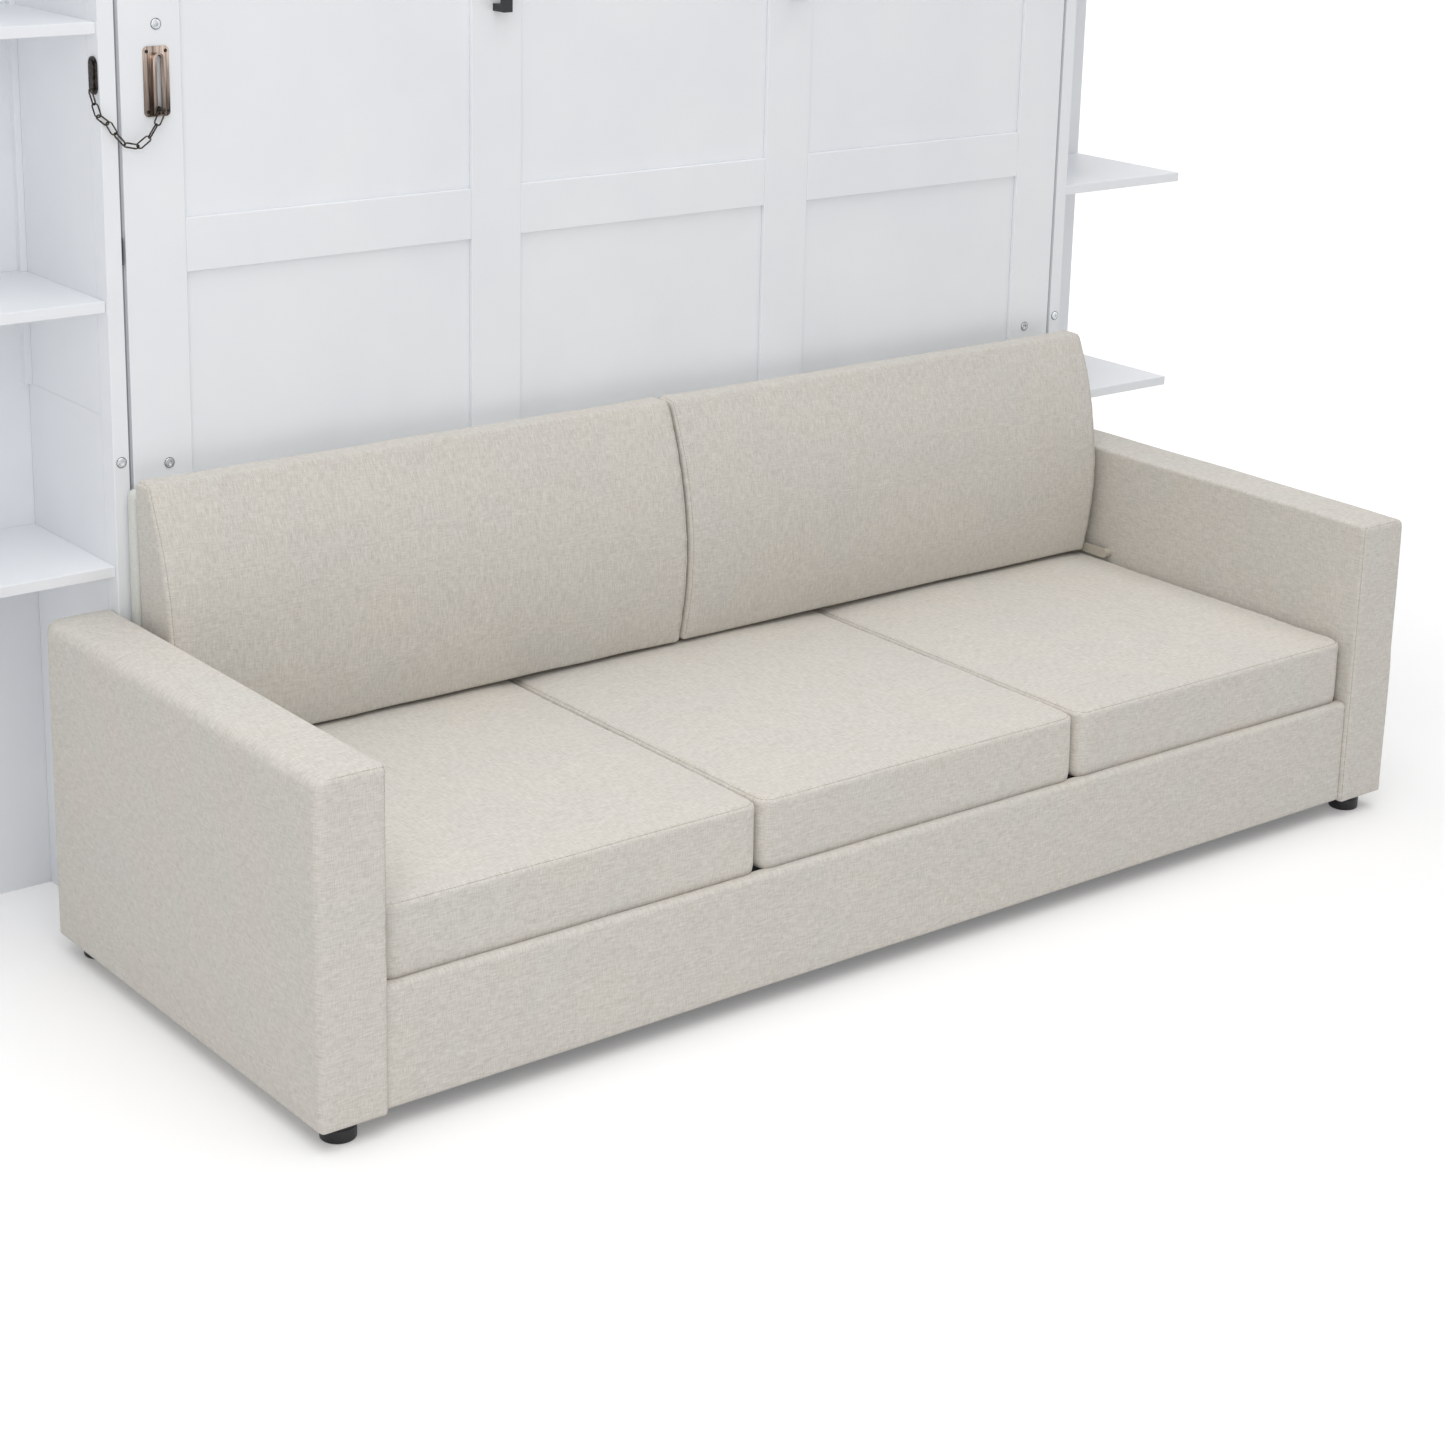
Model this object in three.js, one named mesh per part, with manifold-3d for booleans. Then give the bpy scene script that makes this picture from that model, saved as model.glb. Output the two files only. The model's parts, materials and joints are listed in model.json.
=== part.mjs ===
// Wall bed with sofa
// A full-size bed folds down sideways out of a wall cabinet, over a three-seat sofa.
// The sofa's back folds with it.
// Open shelves stand at both ends. Sizes are in millimetres, +X to the right, +Y to the wall, +Z up.
// Inside the assembly group, y is counted from the front of the sofa's arms.

import * as THREE from 'three';
import { mergeVertices } from 'three/addons/utils/BufferGeometryUtils.js';
import { RoundedBoxGeometry } from 'three/addons/geometries/RoundedBoxGeometry.js';
import Module from 'manifold-3d';

const wasm = await Module();
wasm.setup();

// General clearances and edges
const touch = 0.3;
const overrun = 4;
const boardEdge = 1;
const weldSize = 0.001;

// Sofa frame
const armWidth = 114;
const armAboveSeat = 222.7;
const armBesideCabinet = 33;
const armRound = 9;
const footHeight = 33;
const footDiameter = 54;
const footChamfer = 2;
const footInsetX = 54;
const footInsetY = 45;
const railHeight = 195;
const railThickness = 30;
const railRound = 7;
const frontRailSetback = 10;
const sofaFrameDepth = 760;
const sofaToCabinet = 33;
const deckThickness = 18;

// Seat cushions
const seatCount = 3;
const seatSetback = 27;
const seatRearInset = 1;
const seatThickness = 116;
const seatGap = 3;
const seatRound = 17;
const seatCrown = 11;
const seatFrontBulge = 4;
const seatSideDraw = 2.5;

// Back rest, with its thickness at the bottom, at the fullest line and at the top
const backCount = 2;
const backToArmGap = 15;
const backHeight = 433;
const backBottomThickness = 96;
const backBellyThickness = 119;
const backTopThickness = 44;
const backBellyShare = 0.36;
const backEndFall = 7;
const backEndDraw = 3;
const backRound = 13;
const backGap = 3;
const backBoardThickness = 28;
const backBoardDrop = 21;
const backBoardRound = 12;
const backToFaceGap = 5;
const seatToBackGap = 2;

// Back rest hinges
const hingeBeforeCushion = 21;
const hingeAboveCushion = 2.7;
const hingePlateThickness = 4;
const hingePlateWidth = 18;
const hingeLegHeight = 150;
const hingeLegInset = 1;
const hingeBossRadius = 9;
const hingePinRadius = 6;
const hingePinDepth = 15;
const hingePinClearance = 0.6;

// Cabinet
const sideThickness = 27;
const topThickness = 30;
const backPanelThickness = 12;
const baseToFaceGap = 20;
const basePanelThickness = 20;
const sidePostWidth = 37;
const seamAboveShelf = 240;
const seamWidth = 1.4;
const seamDepth = 0.8;

// Side shelves
const shelfWidth = 327;
const shelfSetback = 7;
const shelfThickness = 18;
const shelfCount = 4;
const shelfAboveArm = 74;
const shelfBackInset = 13;
const shelfBackThickness = 15;
const battenWidth = 11;
const battenDepth = 14;

// Bed
const mattressLength = 1905;
const mattressWidth = 1372;
const mattressThickness = 200;
const mattressRound = 22;
const mattressCrown = 6;
const mattressClearance = 5;
const mattressRearGap = 63.4;
const bedRailThickness = 20;
const bedRailDepth = 120;
const ledgeWidth = 25;
const ledgeDepth = 14.4;
const centreBarWidth = 40;
const slatCount = 12;
const slatWidth = 62;
const slatThickness = 14;
const slatEndGap = 2;
const slatTapeWidth = 30;
const slatTapeThickness = 2;
const slatTapeShare = 0.56;
const slatMarginShare = 0.03;

// Bed face: a board with stiles and rails laid on it
const doorGap = 7;
const faceTopGap = 10;
const faceAboveFrame = 7;
const faceBelowFrame = 45;
const trimThickness = 8;
const faceBoardThickness = 12;
const outerStileWidth = 103;
const midStileWidth = 99;
const bayCount = 3;
const midRailWidth = 85;
const endRailWidth = 100;

// Bed pivot
const pivotBehindFace = 80;
const mattressBelowPivot = 138;
const pivotFlangeRadius = 34;
const pivotFlangeThickness = 4;
const pivotPinRadius = 8;
const pivotPinClearance = 0.6;
const pivotPinEndGap = 3;

// Gas struts, with their ends' places behind and above the bed pivot
const strutRoom = 25.2;
const strutTopBack = 175;
const strutTopRise = 480;
const strutFootBack = 45;
const strutFootDrop = 125;
const strutTubeRadius = 9;
const strutTubeLength = 300;
const strutTubeWall = 4;
const strutTubeStart = 7;
const strutCapLength = 28;
const strutRodRadius = 4.5;
const strutRodOverlap = 31.2;
const strutEyeRadius = 10;
const strutEyeThickness = 8;
const strutPinRadius = 4;
const strutPinClearance = 0.5;
const strutPinDepth = 11;
const strutOpenGap = 3;

// Folding legs and their brackets
const legHingeInset = 55.7;
const legSection = 30;
const legFootHeight = 8;
const legFootLip = 2;
const legFloorGap = 1;
const legPinRadius = 4;
const legPinClearance = 0.5;
const bracketPlate = 3;
const bracketWidth = 46;
const bracketEar = 3;

// Pull handles
const handleBelowTop = 183;
const handleLength = 220;
const handleWidth = 17;
const handleBar = 11;
const handleStandoff = 22;
const handlePost = 12;

// Chain guard
const trackWidth = 43;
const trackHeight = 107;
const trackPlate = 2.2;
const trackInset = 59.7;
const trackBelowShelf = 22;
const channelWidth = 20;
const channelHeight = 95;
const channelLift = 2;
const channelDepth = 9;
const channelWall = 2;
const trackCorner = 7;
const slotWidth = 7.5;
const sliderNeckRadius = 2.8;
const sliderHeadRadius = 5.5;
const sliderHeadThickness = 2.4;
const sliderKnobDepth = 7;
const slotEndGap = 1.2;
const linkWire = 1.3;
const linkWidth = 12.5;
const linkCount = 6;
const linkJoin = 0.9;
const chainDrop = 48;
const chainCornerInset = 6;
const chainCornerForward = 9;
const chainCornerDrop = 11;
const anchorWidth = 25;
const anchorHeight = 58;
const anchorPlate = 3;
const anchorRib = 2;
const anchorRim = 5;
const anchorBehindFace = 5;
const anchorAboveTrack = 37;
const anchorPostRadius = 2.2;
const anchorEyeReach = 6;
const anchorEyeBehindFace = 14;
const anchorEyeRise = 8;
const anchorLinkCount = 2;
const chainHangForward = 6;
const chainHangDrop = 40;

// Grids and facets
const cushionColumns = 14;
const cushionRows = 10;
const cushionLayers = 6;
const roundSides = 24;
const smallSides = 12;
const linkSteps = 16;
const wireSides = 6;

// Widths, worked out from the mattress
const frameInnerX = mattressLength / 2 + mattressClearance;
const frameOuterX = frameInnerX + bedRailThickness;
const cabinetInner = frameOuterX + strutRoom;
const cabinetHalf = cabinetInner + sideThickness;
const armInner = cabinetHalf + touch;
const sofaHalf = armInner + armWidth;
const backHalfWidth = armInner - backToArmGap;
const faceHalf = cabinetInner - doorGap;
const stileInner = faceHalf - outerStileWidth;
const bayWidth = (2 * stileInner - (bayCount - 1) * midStileWidth) / bayCount;
const midStilePlace = (bayWidth + midStileWidth) / 2;

// Depths, from the front of the arms to the wall
const sofaFrameRear = frontRailSetback + sofaFrameDepth;
const rearRailSetback = sofaFrameRear - railThickness;
const seatDepth = sofaFrameRear - seatSetback - seatRearInset;
const faceFront = sofaFrameRear + sofaToCabinet;
const armDepth = faceFront + armBesideCabinet;
const backRear = faceFront - backToFaceGap;
const backBoardFront = backRear - backBoardThickness;
const hingeSetback = backBoardFront - backBellyThickness - hingeBeforeCushion;
const boardFront = faceFront + trimThickness + touch;
const frameFront = boardFront + faceBoardThickness + touch;
const frameRear = frameFront + bedRailDepth;
const slatFront = frameFront + ledgeDepth + touch;
const mattressFront = slatFront + slatThickness + touch;
const pivotY = faceFront + pivotBehindFace;
const cabinetRear = mattressFront + mattressThickness + mattressRearGap + backPanelThickness;
const cabinetDepth = cabinetRear - faceFront;
const shelfBackFront = cabinetRear - shelfBackInset - shelfBackThickness;

// Heights; the back rest's hinge and the bed's pivot lie on one slope, so both lie flat together
const seatBase = footHeight + railHeight;
const seatTop = seatBase + touch + seatThickness;
const armHeight = seatTop + armAboveSeat;
const backBottom = seatTop + seatCrown + seatToBackGap;
const hingeHeight = backBottom + hingeAboveCushion;
const pivotHeight = hingeHeight + pivotY - hingeSetback;
const mattressBottom = pivotHeight - mattressBelowPivot;
const mattressTop = mattressBottom + mattressWidth;
const frameInnerBottom = mattressBottom - mattressClearance;
const frameInnerTop = mattressTop + mattressClearance;
const frameBottom = frameInnerBottom - bedRailThickness;
const frameTop = frameInnerTop + bedRailThickness;
const faceBottom = frameBottom - faceBelowFrame;
const faceTop = frameTop + faceAboveFrame;
const faceMiddle = (faceBottom + faceTop) / 2;
const cabinetHeight = faceTop + faceTopGap + topThickness;
const basePanelHeight = faceBottom - baseToFaceGap;
const shelfFirstTop = armHeight + shelfAboveArm;
const shelfPitch = (cabinetHeight - shelfFirstTop) / (shelfCount - 1);
const sideSeamHeight = shelfFirstTop + seamAboveShelf;
const handleTop = faceTop - handleBelowTop;
const guardShelfTop = cabinetHeight - shelfPitch;
const trackBottom = guardShelfTop - shelfThickness - trackBelowShelf - trackHeight;
const anchorBottom = trackBottom + anchorAboveTrack;
const sides = [['left', -1], ['right', 1]];

// Materials
function finish(colour, roughness, metalness) {
  return new THREE.MeshStandardMaterial({ color: colour, roughness, metalness });
}
const whiteBoard = () => finish(0xe4e6e8, 0.4, 0);
const insideBoard = () => finish(0xd6d7d6, 0.6, 0);
const oatFabric = () => finish(0xc9c2b6, 0.95, 0);
const dustCloth = () => finish(0xdedfda, 0.9, 0);
const deckCloth = () => finish(0x2b2b2d, 0.9, 0);
const blackPlastic = () => finish(0x1c1c1d, 0.5, 0);
const blackMetal = () => finish(0x1f1f21, 0.35, 0.8);
const greyMetal = () => finish(0x6d7074, 0.4, 0.9);
const oatMetal = () => finish(0xc6bfb2, 0.6, 0);
const bronzeMetal = () => finish(0x4a3d35, 0.4, 0.9);
const copperMetal = () => finish(0x8d6a5a, 0.35, 0.9);
const slatWood = () => finish(0xc8a878, 0.6, 0);
const tickingFabric = () => finish(0xe6e5e0, 0.9, 0);

// The assembly, moved so that the origin is at the middle of the footprint
const bed = new THREE.Group();
const assembly = new THREE.Group();
assembly.position.y = -cabinetRear / 2;
bed.add(assembly);

function place(name, geometry, material, x, y, z) {
  const mesh = new THREE.Mesh(geometry, material);
  mesh.name = name;
  mesh.position.set(x, y, z);
  assembly.add(mesh);
}

// A box with its edges chamfered, centred on its middle
function chamferedBox(width, depth, height, edge) {
  const a = width / 2;
  const b = depth / 2;
  const outline = new THREE.Shape([
    new THREE.Vector2(edge - a, -b),
    new THREE.Vector2(a - edge, -b),
    new THREE.Vector2(a, edge - b),
    new THREE.Vector2(a, b - edge),
    new THREE.Vector2(a - edge, b),
    new THREE.Vector2(edge - a, b),
    new THREE.Vector2(-a, b - edge),
    new THREE.Vector2(-a, edge - b),
  ]);
  const geometry = new THREE.ExtrudeGeometry(outline, {
    depth: height - 2 * edge,
    bevelThickness: edge,
    bevelSize: edge,
    bevelOffset: -edge,
    bevelSegments: 1,
  });
  geometry.translate(0, 0, edge - height / 2);
  return geometry;
}

// A board given by its lowest and highest corner along each axis
function board(name, material, [x0, x1], [y0, y1], [z0, z1], edge = boardEdge) {
  const geometry = chamferedBox(x1 - x0, y1 - y0, z1 - z0, edge);
  place(name, geometry, material, (x0 + x1) / 2, (y0 + y1) / 2, (z0 + z1) / 2);
}

// Closed geometry to a solid that can be joined and cut, and back
function solidOf(geometry) {
  const plain = geometry.clone();
  plain.deleteAttribute('normal');
  plain.deleteAttribute('uv');
  const merged = mergeVertices(plain, weldSize);
  return new wasm.Manifold(new wasm.Mesh({
    numProp: 3,
    vertProperties: new Float32Array(merged.attributes.position.array),
    triVerts: new Uint32Array(merged.index.array),
  }));
}

function geometryOf(solid) {
  const mesh = solid.getMesh();
  const geometry = new THREE.BufferGeometry();
  geometry.setAttribute('position', new THREE.BufferAttribute(new Float32Array(mesh.vertProperties), 3));
  geometry.setIndex(new THREE.BufferAttribute(new Uint32Array(mesh.triVerts), 1));
  geometry.computeVertexNormals();
  return geometry;
}

function join(solids) {
  return solids.reduce((whole, next) => whole.add(next));
}

function blockSolid([x0, x1], [y0, y1], [z0, z1]) {
  const geometry = new THREE.BoxGeometry(x1 - x0, y1 - y0, z1 - z0);
  geometry.translate((x0 + x1) / 2, (y0 + y1) / 2, (z0 + z1) / 2);
  return solidOf(geometry);
}

// A round bar from one point to another
function barSolid(from, to, radius, sideCount = smallSides) {
  const along = new THREE.Vector3().subVectors(to, from);
  const geometry = new THREE.CylinderGeometry(radius, radius, along.length(), sideCount);
  const up = new THREE.Vector3(0, 1, 0);
  geometry.applyQuaternion(new THREE.Quaternion().setFromUnitVectors(up, along.clone().normalize()));
  const middle = new THREE.Vector3().addVectors(from, to).divideScalar(2);
  geometry.translate(middle.x, middle.y, middle.z);
  return solidOf(geometry);
}

const point = (x, y, z) => new THREE.Vector3(x, y, z);

// An upright plate facing forwards, with its middle on x and its corners or ends rounded
function roundedPlate(x, halfWidth, [y0, y1], [z0, z1], corner) {
  const flat = halfWidth - corner;
  const pieces = [blockSolid([x - halfWidth, x + halfWidth], [y0, y1], [z0 + corner, z1 - corner])];
  if (flat > 0) pieces.push(blockSolid([x - flat, x + flat], [y0, y1], [z0, z1]));
  for (const z of [z0 + corner, z1 - corner]) {
    for (const sign of flat > 0 ? [-1, 1] : [0]) {
      const at = x + sign * flat;
      pieces.push(barSolid(point(at, y0, z), point(at, y1, z), corner, roundSides));
    }
  }
  return join(pieces);
}

// The same with a square foot and an arched head
function archedPlate(x, halfWidth, [y0, y1], [z0, z1]) {
  const springing = z1 - halfWidth;
  return join([
    blockSolid([x - halfWidth, x + halfWidth], [y0, y1], [z0, springing]),
    barSolid(point(x, y0, springing), point(x, y1, springing), halfWidth, roundSides),
  ]);
}

// A wire ring of flat straights and round ends, from one end point to the other
function linkSolid(from, to, flat, width, startReach, endReach) {
  const along = new THREE.Vector3().subVectors(to, from);
  const length = along.length() + startReach + endReach;
  along.normalize();
  const across = new THREE.Vector3().crossVectors(flat, along).normalize();
  const normal = new THREE.Vector3().crossVectors(along, across);
  const centre = new THREE.Vector3().addVectors(from, to).divideScalar(2);
  centre.addScaledVector(along, (endReach - startReach) / 2);
  const bend = width / 2 - linkWire;
  const straight = Math.max(length / 2 - linkWire - bend, 0);
  const vertices = [];
  const triangles = [];
  for (let step = 0; step < linkSteps; step += 1) {
    const turn = (2 * Math.PI * (step + 0.5)) / linkSteps;
    const out = along.clone().multiplyScalar(Math.cos(turn)).addScaledVector(across, Math.sin(turn));
    const core = centre.clone().addScaledVector(along, Math.sign(Math.cos(turn)) * straight);
    core.addScaledVector(out, bend);
    for (let side = 0; side < wireSides; side += 1) {
      const angle = (2 * Math.PI * side) / wireSides;
      const vertex = core.clone().addScaledVector(out, Math.cos(angle) * linkWire);
      vertex.addScaledVector(normal, Math.sin(angle) * linkWire);
      vertices.push(vertex.x, vertex.y, vertex.z);
      const here = step * wireSides + side;
      const beside = step * wireSides + ((side + 1) % wireSides);
      const nextStep = ((step + 1) % linkSteps) * wireSides;
      const ahead = nextStep + side;
      const aheadBeside = nextStep + ((side + 1) % wireSides);
      triangles.push(here, ahead, beside, beside, ahead, aheadBeside);
    }
  }
  const geometry = new THREE.BufferGeometry();
  geometry.setAttribute('position', new THREE.BufferAttribute(new Float32Array(vertices), 3));
  geometry.setIndex(triangles);
  return solidOf(geometry);
}

// A cushion's skin: a cube's grid with lines crowded at the edges, rounded there and then shaped
function cushion(halfX, halfY, halfZ, radius, shape) {
  const grid = new THREE.BoxGeometry(2, 2, 2, cushionColumns, cushionRows, cushionLayers);
  grid.deleteAttribute('normal');
  grid.deleteAttribute('uv');
  const geometry = mergeVertices(grid, weldSize);
  const half = new THREE.Vector3(halfX, halfY, halfZ);
  const reach = new THREE.Vector3(radius, radius, radius).divide(half);
  const inner = new THREE.Vector3(1, 1, 1).sub(reach);
  const spot = new THREE.Vector3();
  const positions = geometry.attributes.position;
  for (let index = 0; index < positions.count; index += 1) {
    spot.fromBufferAttribute(positions, index);
    spot.set(...spot.toArray().map((share) => Math.sin((share * Math.PI) / 2)));
    const core = spot.clone().clamp(inner.clone().negate(), inner);
    const out = spot.clone().sub(core).divide(reach).normalize().multiply(reach);
    const shaped = shape(core.add(out));
    positions.setXYZ(index, shaped.x, shaped.y, shaped.z);
  }
  geometry.computeVertexNormals();
  return geometry;
}

// Sofa: feet, arms, rails and deck
function footGeometry() {
  const radius = footDiameter / 2;
  const height = footHeight - touch;
  const profile = [
    new THREE.Vector2(0, 0),
    new THREE.Vector2(radius - footChamfer, 0),
    new THREE.Vector2(radius, footChamfer),
    new THREE.Vector2(radius, height),
    new THREE.Vector2(0, height),
  ];
  const geometry = new THREE.LatheGeometry(profile, roundSides);
  geometry.rotateX(Math.PI / 2);
  return geometry;
}

function addFeet() {
  for (const [side, sign] of sides) {
    const x = sign * (sofaHalf - footInsetX);
    place(`foot_front_${side}`, footGeometry(), blackPlastic(), x, footInsetY, 0);
    place(`foot_rear_${side}`, footGeometry(), blackPlastic(), x, armDepth - footInsetY, 0);
  }
}

function addArms() {
  const height = armHeight - footHeight;
  for (const [side, sign] of sides) {
    const body = solidOf(new RoundedBoxGeometry(armWidth, armDepth, height, 2, armRound));
    const y = armDepth / 2;
    const z = footHeight + height / 2;
    const inner = (-sign * armWidth) / 2;
    const bore = barSolid(
      point(inner - sign * overrun, hingeSetback - y, hingeHeight - z),
      point(inner + sign * (hingePinDepth + overrun / 2), hingeSetback - y, hingeHeight - z),
      hingePinRadius + hingePinClearance,
      roundSides,
    );
    const geometry = geometryOf(body.subtract(bore));
    place(`arm_${side}`, geometry, oatFabric(), sign * (armInner + armWidth / 2), y, z);
  }
}

function addRails() {
  const length = 2 * (armInner - touch);
  const z = footHeight + railHeight / 2;
  const railGeometry = () => new RoundedBoxGeometry(length, railThickness, railHeight, 1, railRound);
  place('front_rail', railGeometry(), oatFabric(), 0, frontRailSetback + railThickness / 2, z);
  place('rear_rail', railGeometry(), oatFabric(), 0, rearRailSetback + railThickness / 2, z);
  board(
    'seat_deck',
    deckCloth(),
    [touch - armInner, armInner - touch],
    [frontRailSetback + railThickness + touch, rearRailSetback - touch],
    [seatBase - deckThickness, seatBase],
  );
}

// Seat cushions: crowned on top, a little full at the front, sides drawn in between the corners
function addSeatCushions() {
  const width = (2 * armInner - (seatCount + 1) * seatGap) / seatCount;
  const names = ['left', 'centre', 'right'];
  const half = seatThickness / 2;
  for (let index = 0; index < seatCount; index += 1) {
    const shape = (at) => {
      const full = (1 - at.x ** 2) * (1 - at.y ** 2);
      const front = (1 - at.x ** 2) * (1 - at.z ** 2) * Math.max(-at.y, 0);
      return new THREE.Vector3(
        at.x * (width / 2 - seatSideDraw * (1 - at.y ** 2)),
        (at.y * seatDepth) / 2 - seatFrontBulge * front,
        at.z * half + (seatCrown * full * (at.z + 1)) / 2,
      );
    };
    const geometry = cushion(width / 2, seatDepth / 2, half, seatRound, shape);
    const x = -armInner + seatGap + width / 2 + index * (width + seatGap);
    const y = seatSetback + seatDepth / 2;
    const name = `seat_cushion_${names[index] ?? index}`;
    place(name, geometry, oatFabric(), x, y, seatBase + touch + half);
  }
}

// Back cushions: thin at the top, fullest a third of the way up, straight behind
function backThickness(share) {
  const above = share > backBellyShare;
  const end = above ? backTopThickness : backBottomThickness;
  const span = above ? 1 - backBellyShare : backBellyShare;
  const away = (share - backBellyShare) / span;
  return backBellyThickness - (backBellyThickness - end) * away ** 2;
}

function addBackCushions() {
  const width = (2 * backHalfWidth - (backCount - 1) * backGap) / backCount - 2 * touch;
  const names = ['left', 'right'];
  const rear = backBoardFront - touch;
  for (let index = 0; index < backCount; index += 1) {
    const shape = (at) => {
      const share = (at.z + 1) / 2;
      const depth = backThickness(share) - backEndFall * at.x ** 4;
      return new THREE.Vector3(
        at.x * (width / 2 - backEndDraw * (1 - at.z ** 2)),
        (-depth * (1 - at.y)) / 2,
        share * backHeight,
      );
    };
    const geometry = cushion(width / 2, backBellyThickness / 2, backHeight / 2, backRound, shape);
    const x = -backHalfWidth + touch + width / 2 + index * (width + backGap);
    place(`back_cushion_${names[index] ?? index}`, geometry, oatFabric(), x, rear, backBottom);
  }
}

function addBackBoard() {
  const height = backHeight - backBoardDrop;
  const width = 2 * backHalfWidth;
  const geometry = new RoundedBoxGeometry(width, backBoardThickness, height, 2, backBoardRound);
  const y = backBoardFront + backBoardThickness / 2;
  place('back_rest_board', geometry, dustCloth(), 0, y, backBottom + height / 2);
}

// Each hinge: a plate from the pin to the board's end, a boss and a pin that turns in the arm
function addBackHinges() {
  for (const [side, sign] of sides) {
    const near = sign * (backHalfWidth + touch);
    const far = near + sign * hingePlateThickness;
    const across = [Math.min(near, far), Math.max(near, far)];
    const low = hingeHeight - hingePlateWidth / 2;
    const rear = backRear - hingeLegInset;
    const bossEnd = sign * (armInner - touch);
    const pinEnd = sign * (armInner + hingePinDepth);
    const solid = join([
      blockSolid(across, [hingeSetback, rear], [low, low + hingePlateWidth]),
      blockSolid(across, [backBoardFront + hingeLegInset, rear], [low, low + hingeLegHeight]),
      barSolid(
        point(near, hingeSetback, hingeHeight),
        point(bossEnd, hingeSetback, hingeHeight),
        hingeBossRadius,
        roundSides,
      ),
      barSolid(
        point(near, hingeSetback, hingeHeight),
        point(pinEnd, hingeSetback, hingeHeight),
        hingePinRadius,
        roundSides,
      ),
    ]);
    place(`back_hinge_${side}`, geometryOf(solid), oatMetal(), 0, 0, 0);
  }
}

// Cabinet sides: a front post and two panels, told apart by shallow seams on the outer face
function addCabinetSides() {
  for (const [side, sign] of sides) {
    const body = solidOf(chamferedBox(sideThickness, cabinetDepth, cabinetHeight, boardEdge));
    const outer = (sign * sideThickness) / 2;
    const across = (reach, depth) => [Math.min(reach, depth), Math.max(reach, depth)];
    const cut = across(outer + sign * overrun, outer - sign * seamDepth);
    const front = -cabinetDepth / 2;
    const postEdge = front + sidePostWidth;
    const seamMiddle = sideSeamHeight - cabinetHeight / 2;
    const levelSeam = blockSolid(
      cut,
      [postEdge, -front + overrun],
      [seamMiddle - seamWidth / 2, seamMiddle + seamWidth / 2],
    );
    const uprightSeam = blockSolid(
      cut,
      [postEdge - seamWidth / 2, postEdge + seamWidth / 2],
      [-cabinetHeight / 2 - overrun, cabinetHeight / 2 + overrun],
    );
    const boreY = front + pivotBehindFace + strutTopBack;
    const boreZ = pivotHeight + strutTopRise - cabinetHeight / 2;
    const bore = barSolid(
      point(-outer - sign * overrun, boreY, boreZ),
      point(-outer + sign * (strutPinDepth + touch), boreY, boreZ),
      strutPinRadius + strutPinClearance,
    );
    const cutBody = body.subtract(levelSeam.add(uprightSeam)).subtract(bore);
    place(
      `cabinet_side_${side}`,
      geometryOf(cutBody),
      whiteBoard(),
      sign * (cabinetHalf - sideThickness / 2),
      faceFront + cabinetDepth / 2,
      cabinetHeight / 2,
    );
  }
}

function addCabinetPanels() {
  const across = [touch - cabinetInner, cabinetInner - touch];
  const backFront = cabinetRear - backPanelThickness;
  const underTop = cabinetHeight - topThickness;
  board('cabinet_top', whiteBoard(), across, [faceFront, cabinetRear], [underTop, cabinetHeight]);
  board('cabinet_back', insideBoard(), across, [backFront, cabinetRear], [touch, underTop - touch]);
  board(
    'base_panel',
    whiteBoard(),
    across,
    [faceFront + boardEdge, faceFront + boardEdge + basePanelThickness],
    [0, basePanelHeight],
  );
}

// Side shelves: a back panel with a corner batten above the seam, and shelves notched round it
function addShelves() {
  const inner = cabinetHalf + touch;
  const outer = inner + shelfWidth;
  const front = faceFront + shelfSetback;
  const depth = shelfBackFront - touch - front;
  for (const [side, sign] of sides) {
    const span = (near, far) => [Math.min(sign * near, sign * far), Math.max(sign * near, sign * far)];
    const panel = blockSolid(
      span(inner, outer),
      [shelfBackFront, shelfBackFront + shelfBackThickness],
      [0, cabinetHeight],
    );
    const batten = blockSolid(
      span(inner, inner + battenWidth),
      [shelfBackFront - battenDepth, shelfBackFront + boardEdge],
      [sideSeamHeight, cabinetHeight],
    );
    place(`shelf_back_${side}`, geometryOf(panel.add(batten)), whiteBoard(), 0, 0, 0);
    for (let index = 0; index < shelfCount; index += 1) {
      const top = shelfFirstTop + index * shelfPitch;
      const slab = chamferedBox(shelfWidth, depth, shelfThickness, boardEdge);
      slab.translate((sign * (inner + outer)) / 2, front + depth / 2, top - shelfThickness / 2);
      let shelf = solidOf(slab);
      if (top > sideSeamHeight) {
        shelf = shelf.subtract(blockSolid(
          span(inner - overrun, inner + battenWidth + touch),
          [shelfBackFront - battenDepth - touch, shelfBackFront + overrun],
          [top - shelfThickness - overrun, top + overrun],
        ));
      }
      place(`shelf_${side}_${index + 1}`, geometryOf(shelf), whiteBoard(), 0, 0, 0);
    }
  }
}

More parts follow.
